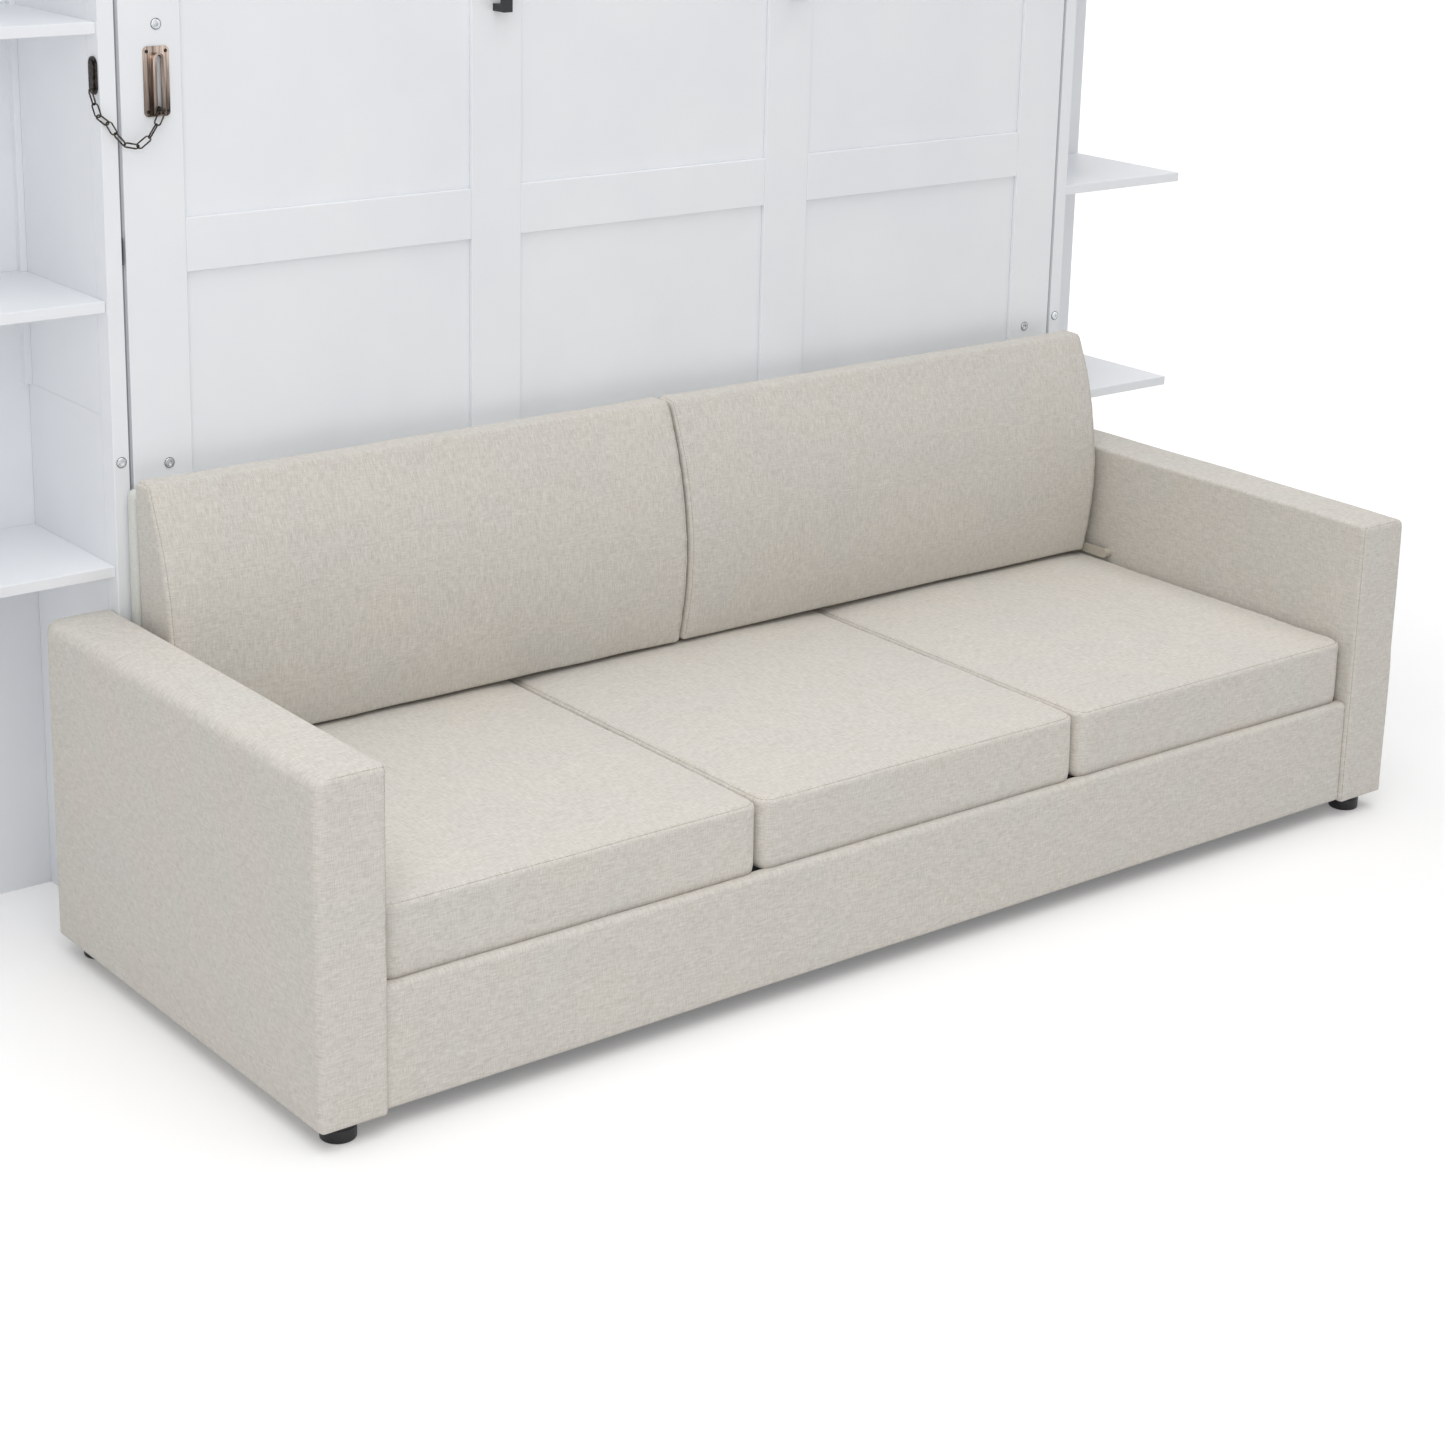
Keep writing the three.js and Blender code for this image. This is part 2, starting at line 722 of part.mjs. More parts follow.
// Bed frame: four rails, ledges along the long rails and a centre bar, with a bore for each pivot
function addBedFrame() {
  const x = [-frameOuterX, frameOuterX];
  const inside = [-frameInnerX - boardEdge, frameInnerX + boardEdge];
  const depth = [frameFront, frameRear];
  const ledge = [frameFront, frameFront + ledgeDepth];
  const middle = (frameBottom + frameTop) / 2;
  const parts = [
    blockSolid(x, depth, [frameBottom, frameInnerBottom]),
    blockSolid(x, depth, [frameInnerTop, frameTop]),
    blockSolid([-frameOuterX, -frameInnerX], depth, [frameBottom, frameTop]),
    blockSolid([frameInnerX, frameOuterX], depth, [frameBottom, frameTop]),
    blockSolid(inside, ledge, [frameInnerBottom - boardEdge, frameInnerBottom + ledgeWidth]),
    blockSolid(inside, ledge, [frameInnerTop - ledgeWidth, frameInnerTop + boardEdge]),
    blockSolid(inside, ledge, [middle - centreBarWidth / 2, middle + centreBarWidth / 2]),
  ];
  const bore = barSolid(
    point(-frameOuterX - overrun, pivotY, pivotHeight),
    point(frameOuterX + overrun, pivotY, pivotHeight),
    pivotPinRadius + pivotPinClearance,
    roundSides,
  );
  place('bed_frame', geometryOf(join(parts).subtract(bore)), insideBoard(), 0, 0, 0);
}

function addSlats() {
  const rear = slatFront + slatThickness;
  const height = [frameInnerBottom + slatEndGap, frameInnerTop - slatEndGap];
  const margin = mattressLength * slatMarginShare;
  const pitch = (mattressLength - 2 * margin - slatWidth) / (slatCount - 1);
  const start = -mattressLength / 2 + margin;
  const solids = [];
  for (let index = 0; index < slatCount; index += 1) {
    const x = start + index * pitch;
    solids.push(blockSolid([x, x + slatWidth], [slatFront, rear], height));
  }
  const middle = (frameInnerBottom + frameInnerTop) / 2;
  const tapeRear = rear - (slatThickness - slatTapeThickness) / 2;
  for (const sign of [-1, 1]) {
    const z = middle + (sign * slatTapeShare * mattressWidth) / 2;
    solids.push(blockSolid(
      [start + boardEdge, -start - boardEdge],
      [tapeRear - slatTapeThickness, tapeRear],
      [z - slatTapeWidth / 2, z + slatTapeWidth / 2],
    ));
  }
  place('bed_slats', geometryOf(join(solids)), slatWood(), 0, 0, 0);
}

function addMattress() {
  const half = mattressThickness / 2;
  const shape = (at) => new THREE.Vector3(
    (at.x * mattressLength) / 2,
    at.y * half + mattressCrown * (1 - at.x ** 2) * (1 - at.z ** 2) * Math.max(at.y, 0),
    (at.z * mattressWidth) / 2,
  );
  const geometry = cushion(mattressLength / 2, half, mattressWidth / 2, mattressRound, shape);
  const z = mattressBottom + mattressWidth / 2;
  place('mattress', geometry, tickingFabric(), 0, mattressFront + half, z);
}

// Bed face: end rails run the full width, stiles stand between them and rails cross each bay
function addFace() {
  const trim = [faceFront, faceFront + trimThickness];
  const between = [faceBottom + endRailWidth + touch, faceTop - endRailWidth - touch];
  const midNear = midStilePlace - midStileWidth / 2;
  const midFar = midStilePlace + midStileWidth / 2;
  const depth = [boardFront, boardFront + faceBoardThickness];
  board('face_board', whiteBoard(), [-faceHalf, faceHalf], depth, [faceBottom, faceTop]);
  const full = [-faceHalf, faceHalf];
  board('face_rail_top', whiteBoard(), full, trim, [faceTop - endRailWidth, faceTop]);
  board('face_rail_bottom', whiteBoard(), full, trim, [faceBottom, faceBottom + endRailWidth]);
  board('face_stile_left', whiteBoard(), [-faceHalf, -stileInner], trim, between);
  board('face_stile_mid_left', whiteBoard(), [-midFar, -midNear], trim, between);
  board('face_stile_mid_right', whiteBoard(), [midNear, midFar], trim, between);
  board('face_stile_right', whiteBoard(), [stileInner, faceHalf], trim, between);
  const bays = [
    ['left', [touch - stileInner, -midFar - touch]],
    ['centre', [touch - midNear, midNear - touch]],
    ['right', [midFar + touch, stileInner - touch]],
  ];
  const middle = [faceMiddle - midRailWidth / 2, faceMiddle + midRailWidth / 2];
  for (const [name, across] of bays) {
    board(`face_rail_${name}`, whiteBoard(), across, trim, middle);
  }
}

// Pull handles: a square bar on two posts
function addHandles() {
  const rear = faceFront - touch;
  const barRear = rear - handleStandoff;
  const bottom = handleTop - handleLength;
  for (const [side, sign] of sides) {
    const x = sign * midStilePlace;
    const across = [x - handleWidth / 2, x + handleWidth / 2];
    const solid = join([
      blockSolid(across, [barRear - handleBar, barRear], [bottom, handleTop]),
      blockSolid(across, [barRear - boardEdge, rear], [bottom, bottom + handlePost]),
      blockSolid(across, [barRear - boardEdge, rear], [handleTop - handlePost, handleTop]),
    ]);
    place(`handle_${side}`, geometryOf(solid), blackMetal(), 0, 0, 0);
  }
}

// Bed pivots: a flange on the cabinet side and a pin that the bed's end rail turns on
function addPivots() {
  for (const [side, sign] of sides) {
    const flangeOuter = sign * (cabinetInner - touch);
    const flangeInner = flangeOuter - sign * pivotFlangeThickness;
    const at = (x) => point(x, pivotY, pivotHeight);
    const solid = join([
      barSolid(at(flangeOuter), at(flangeInner), pivotFlangeRadius, roundSides),
      barSolid(at(flangeOuter), at(sign * (frameInnerX + pivotPinEndGap)), pivotPinRadius, roundSides),
    ]);
    place(`pivot_bracket_${side}`, geometryOf(solid), greyMetal(), 0, 0, 0);
  }
}

// Gas struts: the tube turns on a pin in the cabinet side, and the rod slides into it
function addStruts() {
  for (const [side, sign] of sides) {
    const x = sign * (frameOuterX + cabinetInner) / 2;
    const top = point(x, pivotY + strutTopBack, pivotHeight + strutTopRise);
    const foot = point(x, pivotY + strutFootBack, pivotHeight - strutFootDrop);
    const rodLength = foot.distanceTo(top) - strutTubeLength + strutRodOverlap;
    const along = new THREE.Vector3().subVectors(foot, top).normalize();
    const from = (start, distance) => start.clone().addScaledVector(along, distance);
    const shifted = (start, distance) => point(start.x + distance, start.y, start.z);
    const eye = (centre) => barSolid(
      shifted(centre, -strutEyeThickness / 2),
      shifted(centre, strutEyeThickness / 2),
      strutEyeRadius,
      roundSides,
    );
    const sidePin = shifted(top, sign * ((cabinetInner - frameOuterX) / 2 + strutPinDepth));
    const tube = barSolid(
      from(top, strutTubeStart),
      from(top, strutTubeLength),
      strutTubeRadius,
      roundSides,
    );
    const bore = barSolid(
      from(top, strutTubeStart + strutCapLength),
      from(top, strutTubeLength + overrun),
      strutTubeRadius - strutTubeWall,
    );
    const cylinder = tube.subtract(bore).add(eye(top)).add(barSolid(top, sidePin, strutPinRadius));
    place(`strut_cylinder_${side}`, geometryOf(cylinder), blackMetal(), 0, 0, 0);
    const railPin = point(sign * (frameOuterX + strutOpenGap), foot.y, foot.z);
    const rod = join([
      barSolid(foot, from(foot, -rodLength), strutRodRadius),
      eye(foot),
      barSolid(foot, railPin, strutPinRadius),
    ]);
    place(`strut_rod_${side}`, geometryOf(rod), greyMetal(), 0, 0, 0);
  }
}

// Folding legs: stored along the top rail, each turning on a pin between a bracket's two ears
function addLegs() {
  const plateFront = faceFront - touch - bracketPlate;
  const y = plateFront - touch - legSection / 2;
  const z = faceTop - endRailWidth / 2;
  const half = legSection / 2;
  const reach = pivotHeight - (pivotY - y) - legFloorGap;
  for (const [side, sign] of sides) {
    const x = sign * (faceHalf - legHingeInset);
    const inward = -sign;
    const span = (near, far) => [Math.min(near, far), Math.max(near, far)];
    const bar = blockSolid(span(x, x + inward * reach), [y - half, y + half], [z - half, z + half]);
    const round = barSolid(point(x, y, z - half), point(x, y, z + half), half, roundSides);
    const tip = blockSolid(
      span(x + inward * (reach - legFootHeight), x + inward * reach),
      [y - half - legFootLip, y + half + legFootLip],
      [z - half - legFootLip, z + half + legFootLip],
    );
    const bore = barSolid(
      point(x, y, z - half - overrun),
      point(x, y, z + half + overrun),
      legPinRadius + legPinClearance,
    );
    place(`leg_${side}`, geometryOf(join([bar, round, tip]).subtract(bore)), whiteBoard(), 0, 0, 0);

    const earNear = half + touch;
    const earFar = earNear + bracketEar;
    const ear = (low, high) => blockSolid([x - half, x + half], [y - half, faceFront - touch], [low, high]);
    const bracket = join([
      blockSolid(
        [x - bracketWidth / 2, x + bracketWidth / 2],
        [plateFront, faceFront - touch],
        [z - earFar, z + earFar],
      ),
      ear(z - earFar, z - earNear),
      ear(z + earNear, z + earFar),
      barSolid(point(x, y, z - earFar), point(x, y, z + earFar), legPinRadius),
    ]);
    place(`leg_bracket_${side}`, geometryOf(bracket), greyMetal(), 0, 0, 0);
  }
}

// Chain guard: a slotted track on the left stile, a slider with its chain, and an anchor
function addChainGuard() {
  const x = trackInset - faceHalf;
  const plateFront = faceFront - touch - trackPlate;
  const channelFront = plateFront - channelDepth;
  const channelBottom = trackBottom + channelLift;
  const channelTop = channelBottom + channelHeight;
  const plate = roundedPlate(
    x,
    trackWidth / 2,
    [plateFront, plateFront + trackPlate],
    [trackBottom, trackBottom + trackHeight],
    trackCorner,
  );
  const travel = [channelBottom + channelWall, channelTop - channelWall];
  const channelSpan = [channelFront, plateFront + trackPlate / 2];
  const channel = archedPlate(x, channelWidth / 2, channelSpan, [channelBottom, channelTop]);
  const cavitySpan = [channelFront + channelWall, plateFront];
  const cavity = archedPlate(x, channelWidth / 2 - channelWall, cavitySpan, travel);
  const slot = archedPlate(x, slotWidth / 2, [channelFront - overrun, plateFront], travel);
  const track = plate.add(channel).subtract(cavity).subtract(slot);
  place('chain_track', geometryOf(track), copperMetal(), 0, 0, 0);

  const sliderZ = channelBottom + channelWall + sliderHeadRadius + slotEndGap;
  const headRear = plateFront - (channelDepth - channelWall - sliderHeadThickness) / 2;
  const knobFront = channelFront - touch - sliderKnobDepth;
  const at = (y) => point(x, y, sliderZ);
  const knob = at(knobFront + boardEdge / 2);
  const corner = point(
    chainCornerInset - cabinetHalf,
    faceFront - chainCornerForward,
    sliderZ - chainCornerDrop,
  );
  const low = new THREE.Vector3().addVectors(knob, corner).divideScalar(2);
  low.z -= 2 * chainDrop;
  const curve = new THREE.QuadraticBezierCurve3(knob, low, corner);
  const parts = [
    barSolid(at(headRear), at(headRear - sliderHeadThickness), sliderHeadRadius, roundSides),
    barSolid(at(headRear), at(knobFront), sliderNeckRadius),
    barSolid(at(channelFront - touch), at(knobFront), sliderHeadRadius, roundSides),
  ];
  const links = chainLinks(curve.getSpacedPoints(linkCount), point(0, -1, 0), Math.PI / 4);
  place('guard_chain', geometryOf(join([...parts, ...links])), bronzeMetal(), 0, 0, 0);

  const anchorX = -cabinetHalf - touch - anchorPlate;
  const anchorY = faceFront + anchorBehindFace;
  const anchorHalf = anchorWidth / 2;
  const ribHalf = anchorHalf - anchorRim;
  const anchorTop = anchorBottom + anchorHeight;
  const anchorMiddle = anchorY + anchorHalf;
  const upright = [anchorBottom, anchorTop];
  const ribUpright = [anchorBottom + anchorRim, anchorTop - anchorRim];
  const sideways = (solid) => solid.rotate([0, 0, -90]).translate([anchorX, anchorMiddle, 0]);
  const backPlate = sideways(roundedPlate(0, anchorHalf, [0, anchorPlate], upright, anchorHalf));
  const rib = sideways(roundedPlate(0, ribHalf, [-anchorRib, anchorPlate / 2], ribUpright, ribHalf));
  const eye = point(
    anchorX - anchorEyeReach,
    faceFront + anchorEyeBehindFace,
    anchorBottom + anchorEyeRise,
  );
  const hang = point(
    -cabinetHalf - anchorEyeReach,
    faceFront - chainHangForward,
    eye.z - chainHangDrop,
  );
  const hanging = new THREE.LineCurve3(eye, hang).getSpacedPoints(anchorLinkCount);
  const anchor = join([
    backPlate,
    rib,
    barSolid(
      point(anchorX + anchorPlate / 2, eye.y, eye.z),
      point(eye.x - linkWire, eye.y, eye.z),
      anchorPostRadius,
    ),
    ...chainLinks(hanging, point(-1, 0, 0), 0),
  ]);
  place('chain_anchor', geometryOf(anchor), bronzeMetal(), 0, 0, 0);
}

// Links along a row of points, each turned a quarter from the one before
function chainLinks(points, outward, lean) {
  const links = [];
  for (let index = 0; index + 1 < points.length; index += 1) {
    const along = new THREE.Vector3().subVectors(points[index + 1], points[index]).normalize();
    const aside = new THREE.Vector3().crossVectors(along, outward).normalize();
    const turn = lean + (index * Math.PI) / 2;
    const flat = outward.clone().multiplyScalar(Math.cos(turn));
    flat.addScaledVector(aside, Math.sin(turn));
    const reach = linkJoin + linkWire;
    const endReach = index + 2 === points.length ? 0 : reach;
    links.push(linkSolid(points[index], points[index + 1], flat, linkWidth, reach, endReach));
  }
  return links;
}

addFeet();
addArms();
addRails();
addSeatCushions();
addBackCushions();
addBackBoard();
addBackHinges();
addCabinetSides();
addCabinetPanels();
addShelves();
addBedFrame();
addSlats();
addMattress();
addFace();
addHandles();
addPivots();
addStruts();
addLegs();
addChainGuard();

export default bed;
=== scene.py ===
import json
import math

import bpy
import numpy as np
from mathutils import Matrix, Vector
from mathutils.bvhtree import BVHTree
from mathutils.kdtree import KDTree


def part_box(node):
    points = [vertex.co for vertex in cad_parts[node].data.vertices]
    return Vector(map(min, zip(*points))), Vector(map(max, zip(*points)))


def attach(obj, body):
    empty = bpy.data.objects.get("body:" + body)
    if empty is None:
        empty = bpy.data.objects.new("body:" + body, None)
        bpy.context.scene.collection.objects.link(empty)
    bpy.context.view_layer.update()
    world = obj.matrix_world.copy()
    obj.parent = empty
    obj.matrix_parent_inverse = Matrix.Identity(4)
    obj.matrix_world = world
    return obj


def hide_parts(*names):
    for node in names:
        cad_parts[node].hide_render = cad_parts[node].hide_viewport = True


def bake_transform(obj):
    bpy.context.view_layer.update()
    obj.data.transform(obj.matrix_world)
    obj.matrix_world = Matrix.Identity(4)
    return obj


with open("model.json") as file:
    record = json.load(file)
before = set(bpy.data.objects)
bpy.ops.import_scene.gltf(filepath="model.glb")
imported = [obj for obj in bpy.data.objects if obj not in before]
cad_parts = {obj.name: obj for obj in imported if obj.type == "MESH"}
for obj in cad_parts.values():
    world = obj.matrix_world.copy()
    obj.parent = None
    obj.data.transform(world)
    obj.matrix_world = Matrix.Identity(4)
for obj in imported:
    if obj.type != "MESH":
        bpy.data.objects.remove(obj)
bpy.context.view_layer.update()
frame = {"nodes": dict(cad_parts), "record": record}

mm = 0.001
nodes = frame["nodes"]
rng = np.random.default_rng(7)

# the photograph's place and lens, with only as much shift as the other views can take
camera = {"place": (-2.951, -3.703, 1.996), "yaw": -38.5, "pitch": 16.03, "roll": 1.38,
          "lens": 71.0, "sensor": 36, "shift": (0.0, -0.15)}


def makeCamera(spec):
    yaw, pitch, roll = (math.radians(spec[key]) for key in ("yaw", "pitch", "roll"))
    ahead = Vector((-math.sin(yaw) * math.cos(pitch), math.cos(yaw) * math.cos(pitch), -math.sin(pitch)))
    right = Vector((math.cos(yaw), math.sin(yaw), 0))
    up = right.cross(ahead)
    tilted = right * math.cos(roll) + up * math.sin(roll)
    upright = up * math.cos(roll) - right * math.sin(roll)
    data = bpy.data.cameras.new("camera")
    data.lens, data.sensor_width = spec["lens"], spec["sensor"]
    data.shift_x, data.shift_y = spec["shift"]
    data.clip_end = 100
    holder = bpy.data.objects.new("camera", data)
    turn = Matrix((tilted, upright, -ahead)).transposed().to_4x4()
    holder.matrix_world = Matrix.Translation(spec["place"]) @ turn
    bpy.context.scene.collection.objects.link(holder)
    bpy.context.scene.camera = holder


makeCamera(camera)
print("camera placed")


# small tools for materials
def linear(text):
    parts = [int(text[at:at + 2], 16) / 255 for at in (1, 3, 5)]
    return [part / 12.92 if part <= 0.04045 else ((part + 0.055) / 1.055) ** 2.4 for part in parts] + [1]


def addNode(tree, kind, settings=None, **links):  # a node with its settings and links; _ in a name is a space
    node = tree.nodes.new(kind)
    for name, value in (settings or {}).items():
        setattr(node, name, value)
    for name, value in links.items():
        key = int(name[1:]) if name[0] == "i" and name[1:].isdigit() else name.replace("_", " ")
        socket = node.inputs[key]
        if isinstance(value, bpy.types.NodeSocket):
            tree.links.new(value, socket)
        else:
            socket.default_value = value
    return node


def startMaterial(name):
    material = bpy.data.materials.new(name)
    material.use_nodes = True
    tree = material.node_tree
    tree.nodes.clear()
    return material, tree


def finishMaterial(tree, **sockets):
    shader = addNode(tree, "ShaderNodeBsdfPrincipled", **sockets)
    addNode(tree, "ShaderNodeOutputMaterial", Surface=shader.outputs[0])


def stretched(tree, sizes, detail=2.0, at=0.0):  # noise whose grains have these sizes in mm along x, y and z
    place = addNode(tree, "ShaderNodeTexCoord").outputs["Object"]
    scaled = addNode(tree, "ShaderNodeMapping", Vector=place, Location=(at, at, at),
                     Scale=[1 / (size * mm) for size in sizes])
    return addNode(tree, "ShaderNodeTexNoise", Vector=scaled.outputs[0], Scale=1.0, Detail=detail,
                   Roughness=0.55).outputs[0]


def spread(tree, value, low, high, start=0.0, end=1.0):
    return addNode(tree, "ShaderNodeMapRange", Value=value, From_Min=low, From_Max=high,
                   To_Min=start, To_Max=end).outputs[0]


def mixColours(tree, factor, first, second):  # a colour is a hex value or another node's output
    mix = addNode(tree, "ShaderNodeMix", {"data_type": "RGBA"}, i0=factor)
    for index, value in ((6, first), (7, second)):
        if isinstance(value, bpy.types.NodeSocket):
            tree.links.new(value, mix.inputs[index])
        else:
            mix.inputs[index].default_value = linear(value)
    return mix.outputs[2]


def average(tree, values):
    total = values[0]
    for value in values[1:]:
        total = addNode(tree, "ShaderNodeMath", {"operation": "ADD"}, i0=total, i1=value).outputs[0]
    return addNode(tree, "ShaderNodeMath", {"operation": "DIVIDE"}, i0=total, i1=len(values)).outputs[0]


def woven(tree, long, short, detail):  # flat flakes across each axis: streaks both ways on whichever face
    facing = addNode(tree, "ShaderNodeTexCoord").outputs["Normal"]
    turned = addNode(tree, "ShaderNodeSeparateXYZ", Vector=facing)
    total = None
    for axis in range(3):
        sizes = [short if other == axis else long for other in range(3)]
        streaks = stretched(tree, sizes, detail, axis * 5.3)
        side = addNode(tree, "ShaderNodeMath", {"operation": "ABSOLUTE"}, i0=turned.outputs[axis]).outputs[0]
        flat = addNode(tree, "ShaderNodeMath", {"operation": "SUBTRACT"}, i0=1.0, i1=side).outputs[0]
        part = addNode(tree, "ShaderNodeMath", {"operation": "MULTIPLY"}, i0=streaks, i1=flat).outputs[0]
        share = flat if total is None else addNode(tree, "ShaderNodeMath", i0=share, i1=flat).outputs[0]
        total = part if total is None else addNode(tree, "ShaderNodeMath", i0=total, i1=part).outputs[0]
    return addNode(tree, "ShaderNodeMath", {"operation": "DIVIDE"}, i0=total, i1=share).outputs[0]


def bump(tree, height, depthMm, strength):
    return addNode(tree, "ShaderNodeBump", Height=height, Distance=depthMm * mm, Strength=strength).outputs[0]


# finishes, one function each
def oatLinen():
    # Linen and polyester cloth, plain woven from slubby two-tone yarn: matt, with short pale and dark
    # flecks both ways and slow warm and cool patches
    spec = {"pale": "#E4E0D9", "deep": "#BFBAB1", "warm": "#D8D1C8", "cool": "#D1CFCB", "patches": 0.3,
            "yarnMm": 1.6, "slubMm": 12, "patchMm": 140, "nap": 0.3}  # yarns are 0.6 mm, drawn at 1.6 to show
    material, tree = startMaterial("oatLinenWoven")
    weave = woven(tree, spec["slubMm"], spec["yarnMm"], 0.0)
    slow = stretched(tree, (spec["patchMm"],) * 3, 2.0, 3.1)
    yarns = mixColours(tree, spread(tree, weave, 0.25, 0.75), spec["deep"], spec["pale"])
    patches = mixColours(tree, spread(tree, slow, 0.35, 0.65), spec["cool"], spec["warm"])
    colour = mixColours(tree, spec["patches"], yarns, patches)
    finishMaterial(tree, Base_Color=colour, Roughness=0.92, Normal=bump(tree, weave, spec["nap"], 0.6),
                   Sheen_Weight=0.1, Sheen_Roughness=0.5, Specular_IOR_Level=0.25)
    return material


def seamThreadAndShade():
    # Polyester sewing thread sunk in the cloth's fold, a thin line a little darker than the cloth: the thread
    # is real, and its darkness partly paints the shade in the seam's fold
    material, tree = startMaterial("oatThreadSeamShade")
    twist = stretched(tree, (3, 3, 3), 1.0)
    colour = mixColours(tree, spread(tree, twist, 0.4, 0.6), "#AEA79A", "#C9C3B8")
    finishMaterial(tree, Base_Color=colour, Roughness=0.8, Normal=bump(tree, twist, 0.3, 0.5),
                   Specular_IOR_Level=0.3)
    return material


def liningCloth():
    # Non-woven polypropylene lining, bonded in small dots: pale, dry and almost flat
    material, tree = startMaterial("liningClothBonded")
    fibres = stretched(tree, (2.5, 2.5, 2.5), 4.0)
    clouds = stretched(tree, (70, 70, 70), 2.0, 1.7)
    colour = mixColours(tree, spread(tree, average(tree, [fibres, clouds]), 0.35, 0.65), "#D3D5D0", "#E6E7E2")
    finishMaterial(tree, Base_Color=colour, Roughness=0.9, Normal=bump(tree, fibres, 0.3, 0.5),
                   Specular_IOR_Level=0.25)
    return material


def whiteLacquer():
    # Medium-density board, sprayed with white lacquer and cured: satin, with a faint orange peel
    spec = {"pale": "#F4F6F9", "deep": "#F0F2F6", "cloudMm": 260, "peelMm": 3.0, "peelDepthMm": 0.05}
    material, tree = startMaterial("whiteLacquerSprayed")
    clouds = spread(tree, stretched(tree, (spec["cloudMm"],) * 3, 3.0), 0.35, 0.65)
    peel = stretched(tree, (spec["peelMm"],) * 3, 2.0)
    rough = spread(tree, average(tree, [peel, clouds]), 0.3, 0.7, 0.30, 0.42)
    finishMaterial(tree, Base_Color=mixColours(tree, clouds, spec["deep"], spec["pale"]), Roughness=rough,
                   Normal=bump(tree, peel, spec["peelDepthMm"], 0.4), Specular_IOR_Level=0.4)
    return material


def primedBoard():
    # Particle board with a white melamine foil pressed on: matt, with a faint fibre print
    material, tree = startMaterial("whiteFoilPressed")
    fibres = stretched(tree, (4, 4, 12), 3.0)
    colour = mixColours(tree, spread(tree, fibres, 0.3, 0.7), "#E4E5E6", "#ECEDEE")
    rough = spread(tree, fibres, 0.3, 0.7, 0.5, 0.62)
    finishMaterial(tree, Base_Color=colour, Roughness=rough, Normal=bump(tree, fibres, 0.15, 0.35))
    return material


def footPlastic():
    # Black polypropylene, injection moulded: semi-matt with a fine spark-eroded grain
    material, tree = startMaterial("blackPlasticMoulded")
    grain = stretched(tree, (1.5, 1.5, 1.5), 3.0)
    colour = mixColours(tree, spread(tree, grain, 0.3, 0.7), "#121214", "#242529")
    finishMaterial(tree, Base_Color=colour, Roughness=spread(tree, grain, 0.3, 0.7, 0.34, 0.5),
                   Normal=bump(tree, grain, 0.12, 0.5), IOR=1.49)
    return material


def blackPowderCoat():
    # Steel bar, powder coated black and baked: satin, with a fine even texture
    material, tree = startMaterial("blackPowderBaked")
    grain = stretched(tree, (1.2, 1.2, 1.2), 3.0, 2.2)
    colour = mixColours(tree, spread(tree, grain, 0.3, 0.7), "#101113", "#26282C")
    finishMaterial(tree, Base_Color=colour, Roughness=spread(tree, grain, 0.3, 0.7, 0.32, 0.46),
                   Normal=bump(tree, grain, 0.1, 0.5), IOR=1.5)
    return material


def zincPlate():
    # Steel, zinc plated and passivated: bright grey with soft cloudy patches
    material, tree = startMaterial("zincSteelPlated")
    clouds = stretched(tree, (6, 6, 6), 3.0)
    colour = mixColours(tree, spread(tree, clouds, 0.35, 0.65), "#B2B6B9", "#E2E5E8")
    finishMaterial(tree, Base_Color=colour, Metallic=1.0, Normal=bump(tree, clouds, 0.05, 0.3),
                   Roughness=spread(tree, clouds, 0.3, 0.7, 0.26, 0.44))
    return material


def oatPowderCoat():
    # Steel, powder coated in the colour of the cloth: matt, with a fine dry texture
    material, tree = startMaterial("oatPowderBaked")
    grain = stretched(tree, (1.5, 1.5, 1.5), 3.0, 6.1)
    colour = mixColours(tree, spread(tree, grain, 0.3, 0.7), "#B9B2A5", "#CBC5B8")
    finishMaterial(tree, Base_Color=colour, Roughness=spread(tree, grain, 0.3, 0.7, 0.5, 0.65),
                   Normal=bump(tree, grain, 0.1, 0.5), IOR=1.5)
    return material


def deckCloth():
    # Black polypropylene deck cloth, bonded in dots: flat, dry and nearly black
    material, tree = startMaterial("blackDeckClothBonded")
    fibres = stretched(tree, (2.5, 2.5, 2.5), 4.0, 7.7)
    colour = mixColours(tree, spread(tree, fibres, 0.35, 0.65), "#1B1B1D", "#303134")
    finishMaterial(tree, Base_Color=colour, Roughness=0.95, Normal=bump(tree, fibres, 0.3, 0.5),
                   Specular_IOR_Level=0.25)
    return material


def antiqueBronze():
    # Steel wire and plate, bronze plated and darkened, then rubbed: nearly black with brown high spots
    material, tree = startMaterial("darkBronzeRubbed")
    rub = stretched(tree, (4, 4, 4), 4.0)
    colour = mixColours(tree, spread(tree, rub, 0.4, 0.62), "#242120", "#5B544E")
    finishMaterial(tree, Base_Color=colour, Metallic=1.0, Normal=bump(tree, rub, 0.08, 0.4),
                   Roughness=spread(tree, rub, 0.3, 0.7, 0.32, 0.52))
    return material


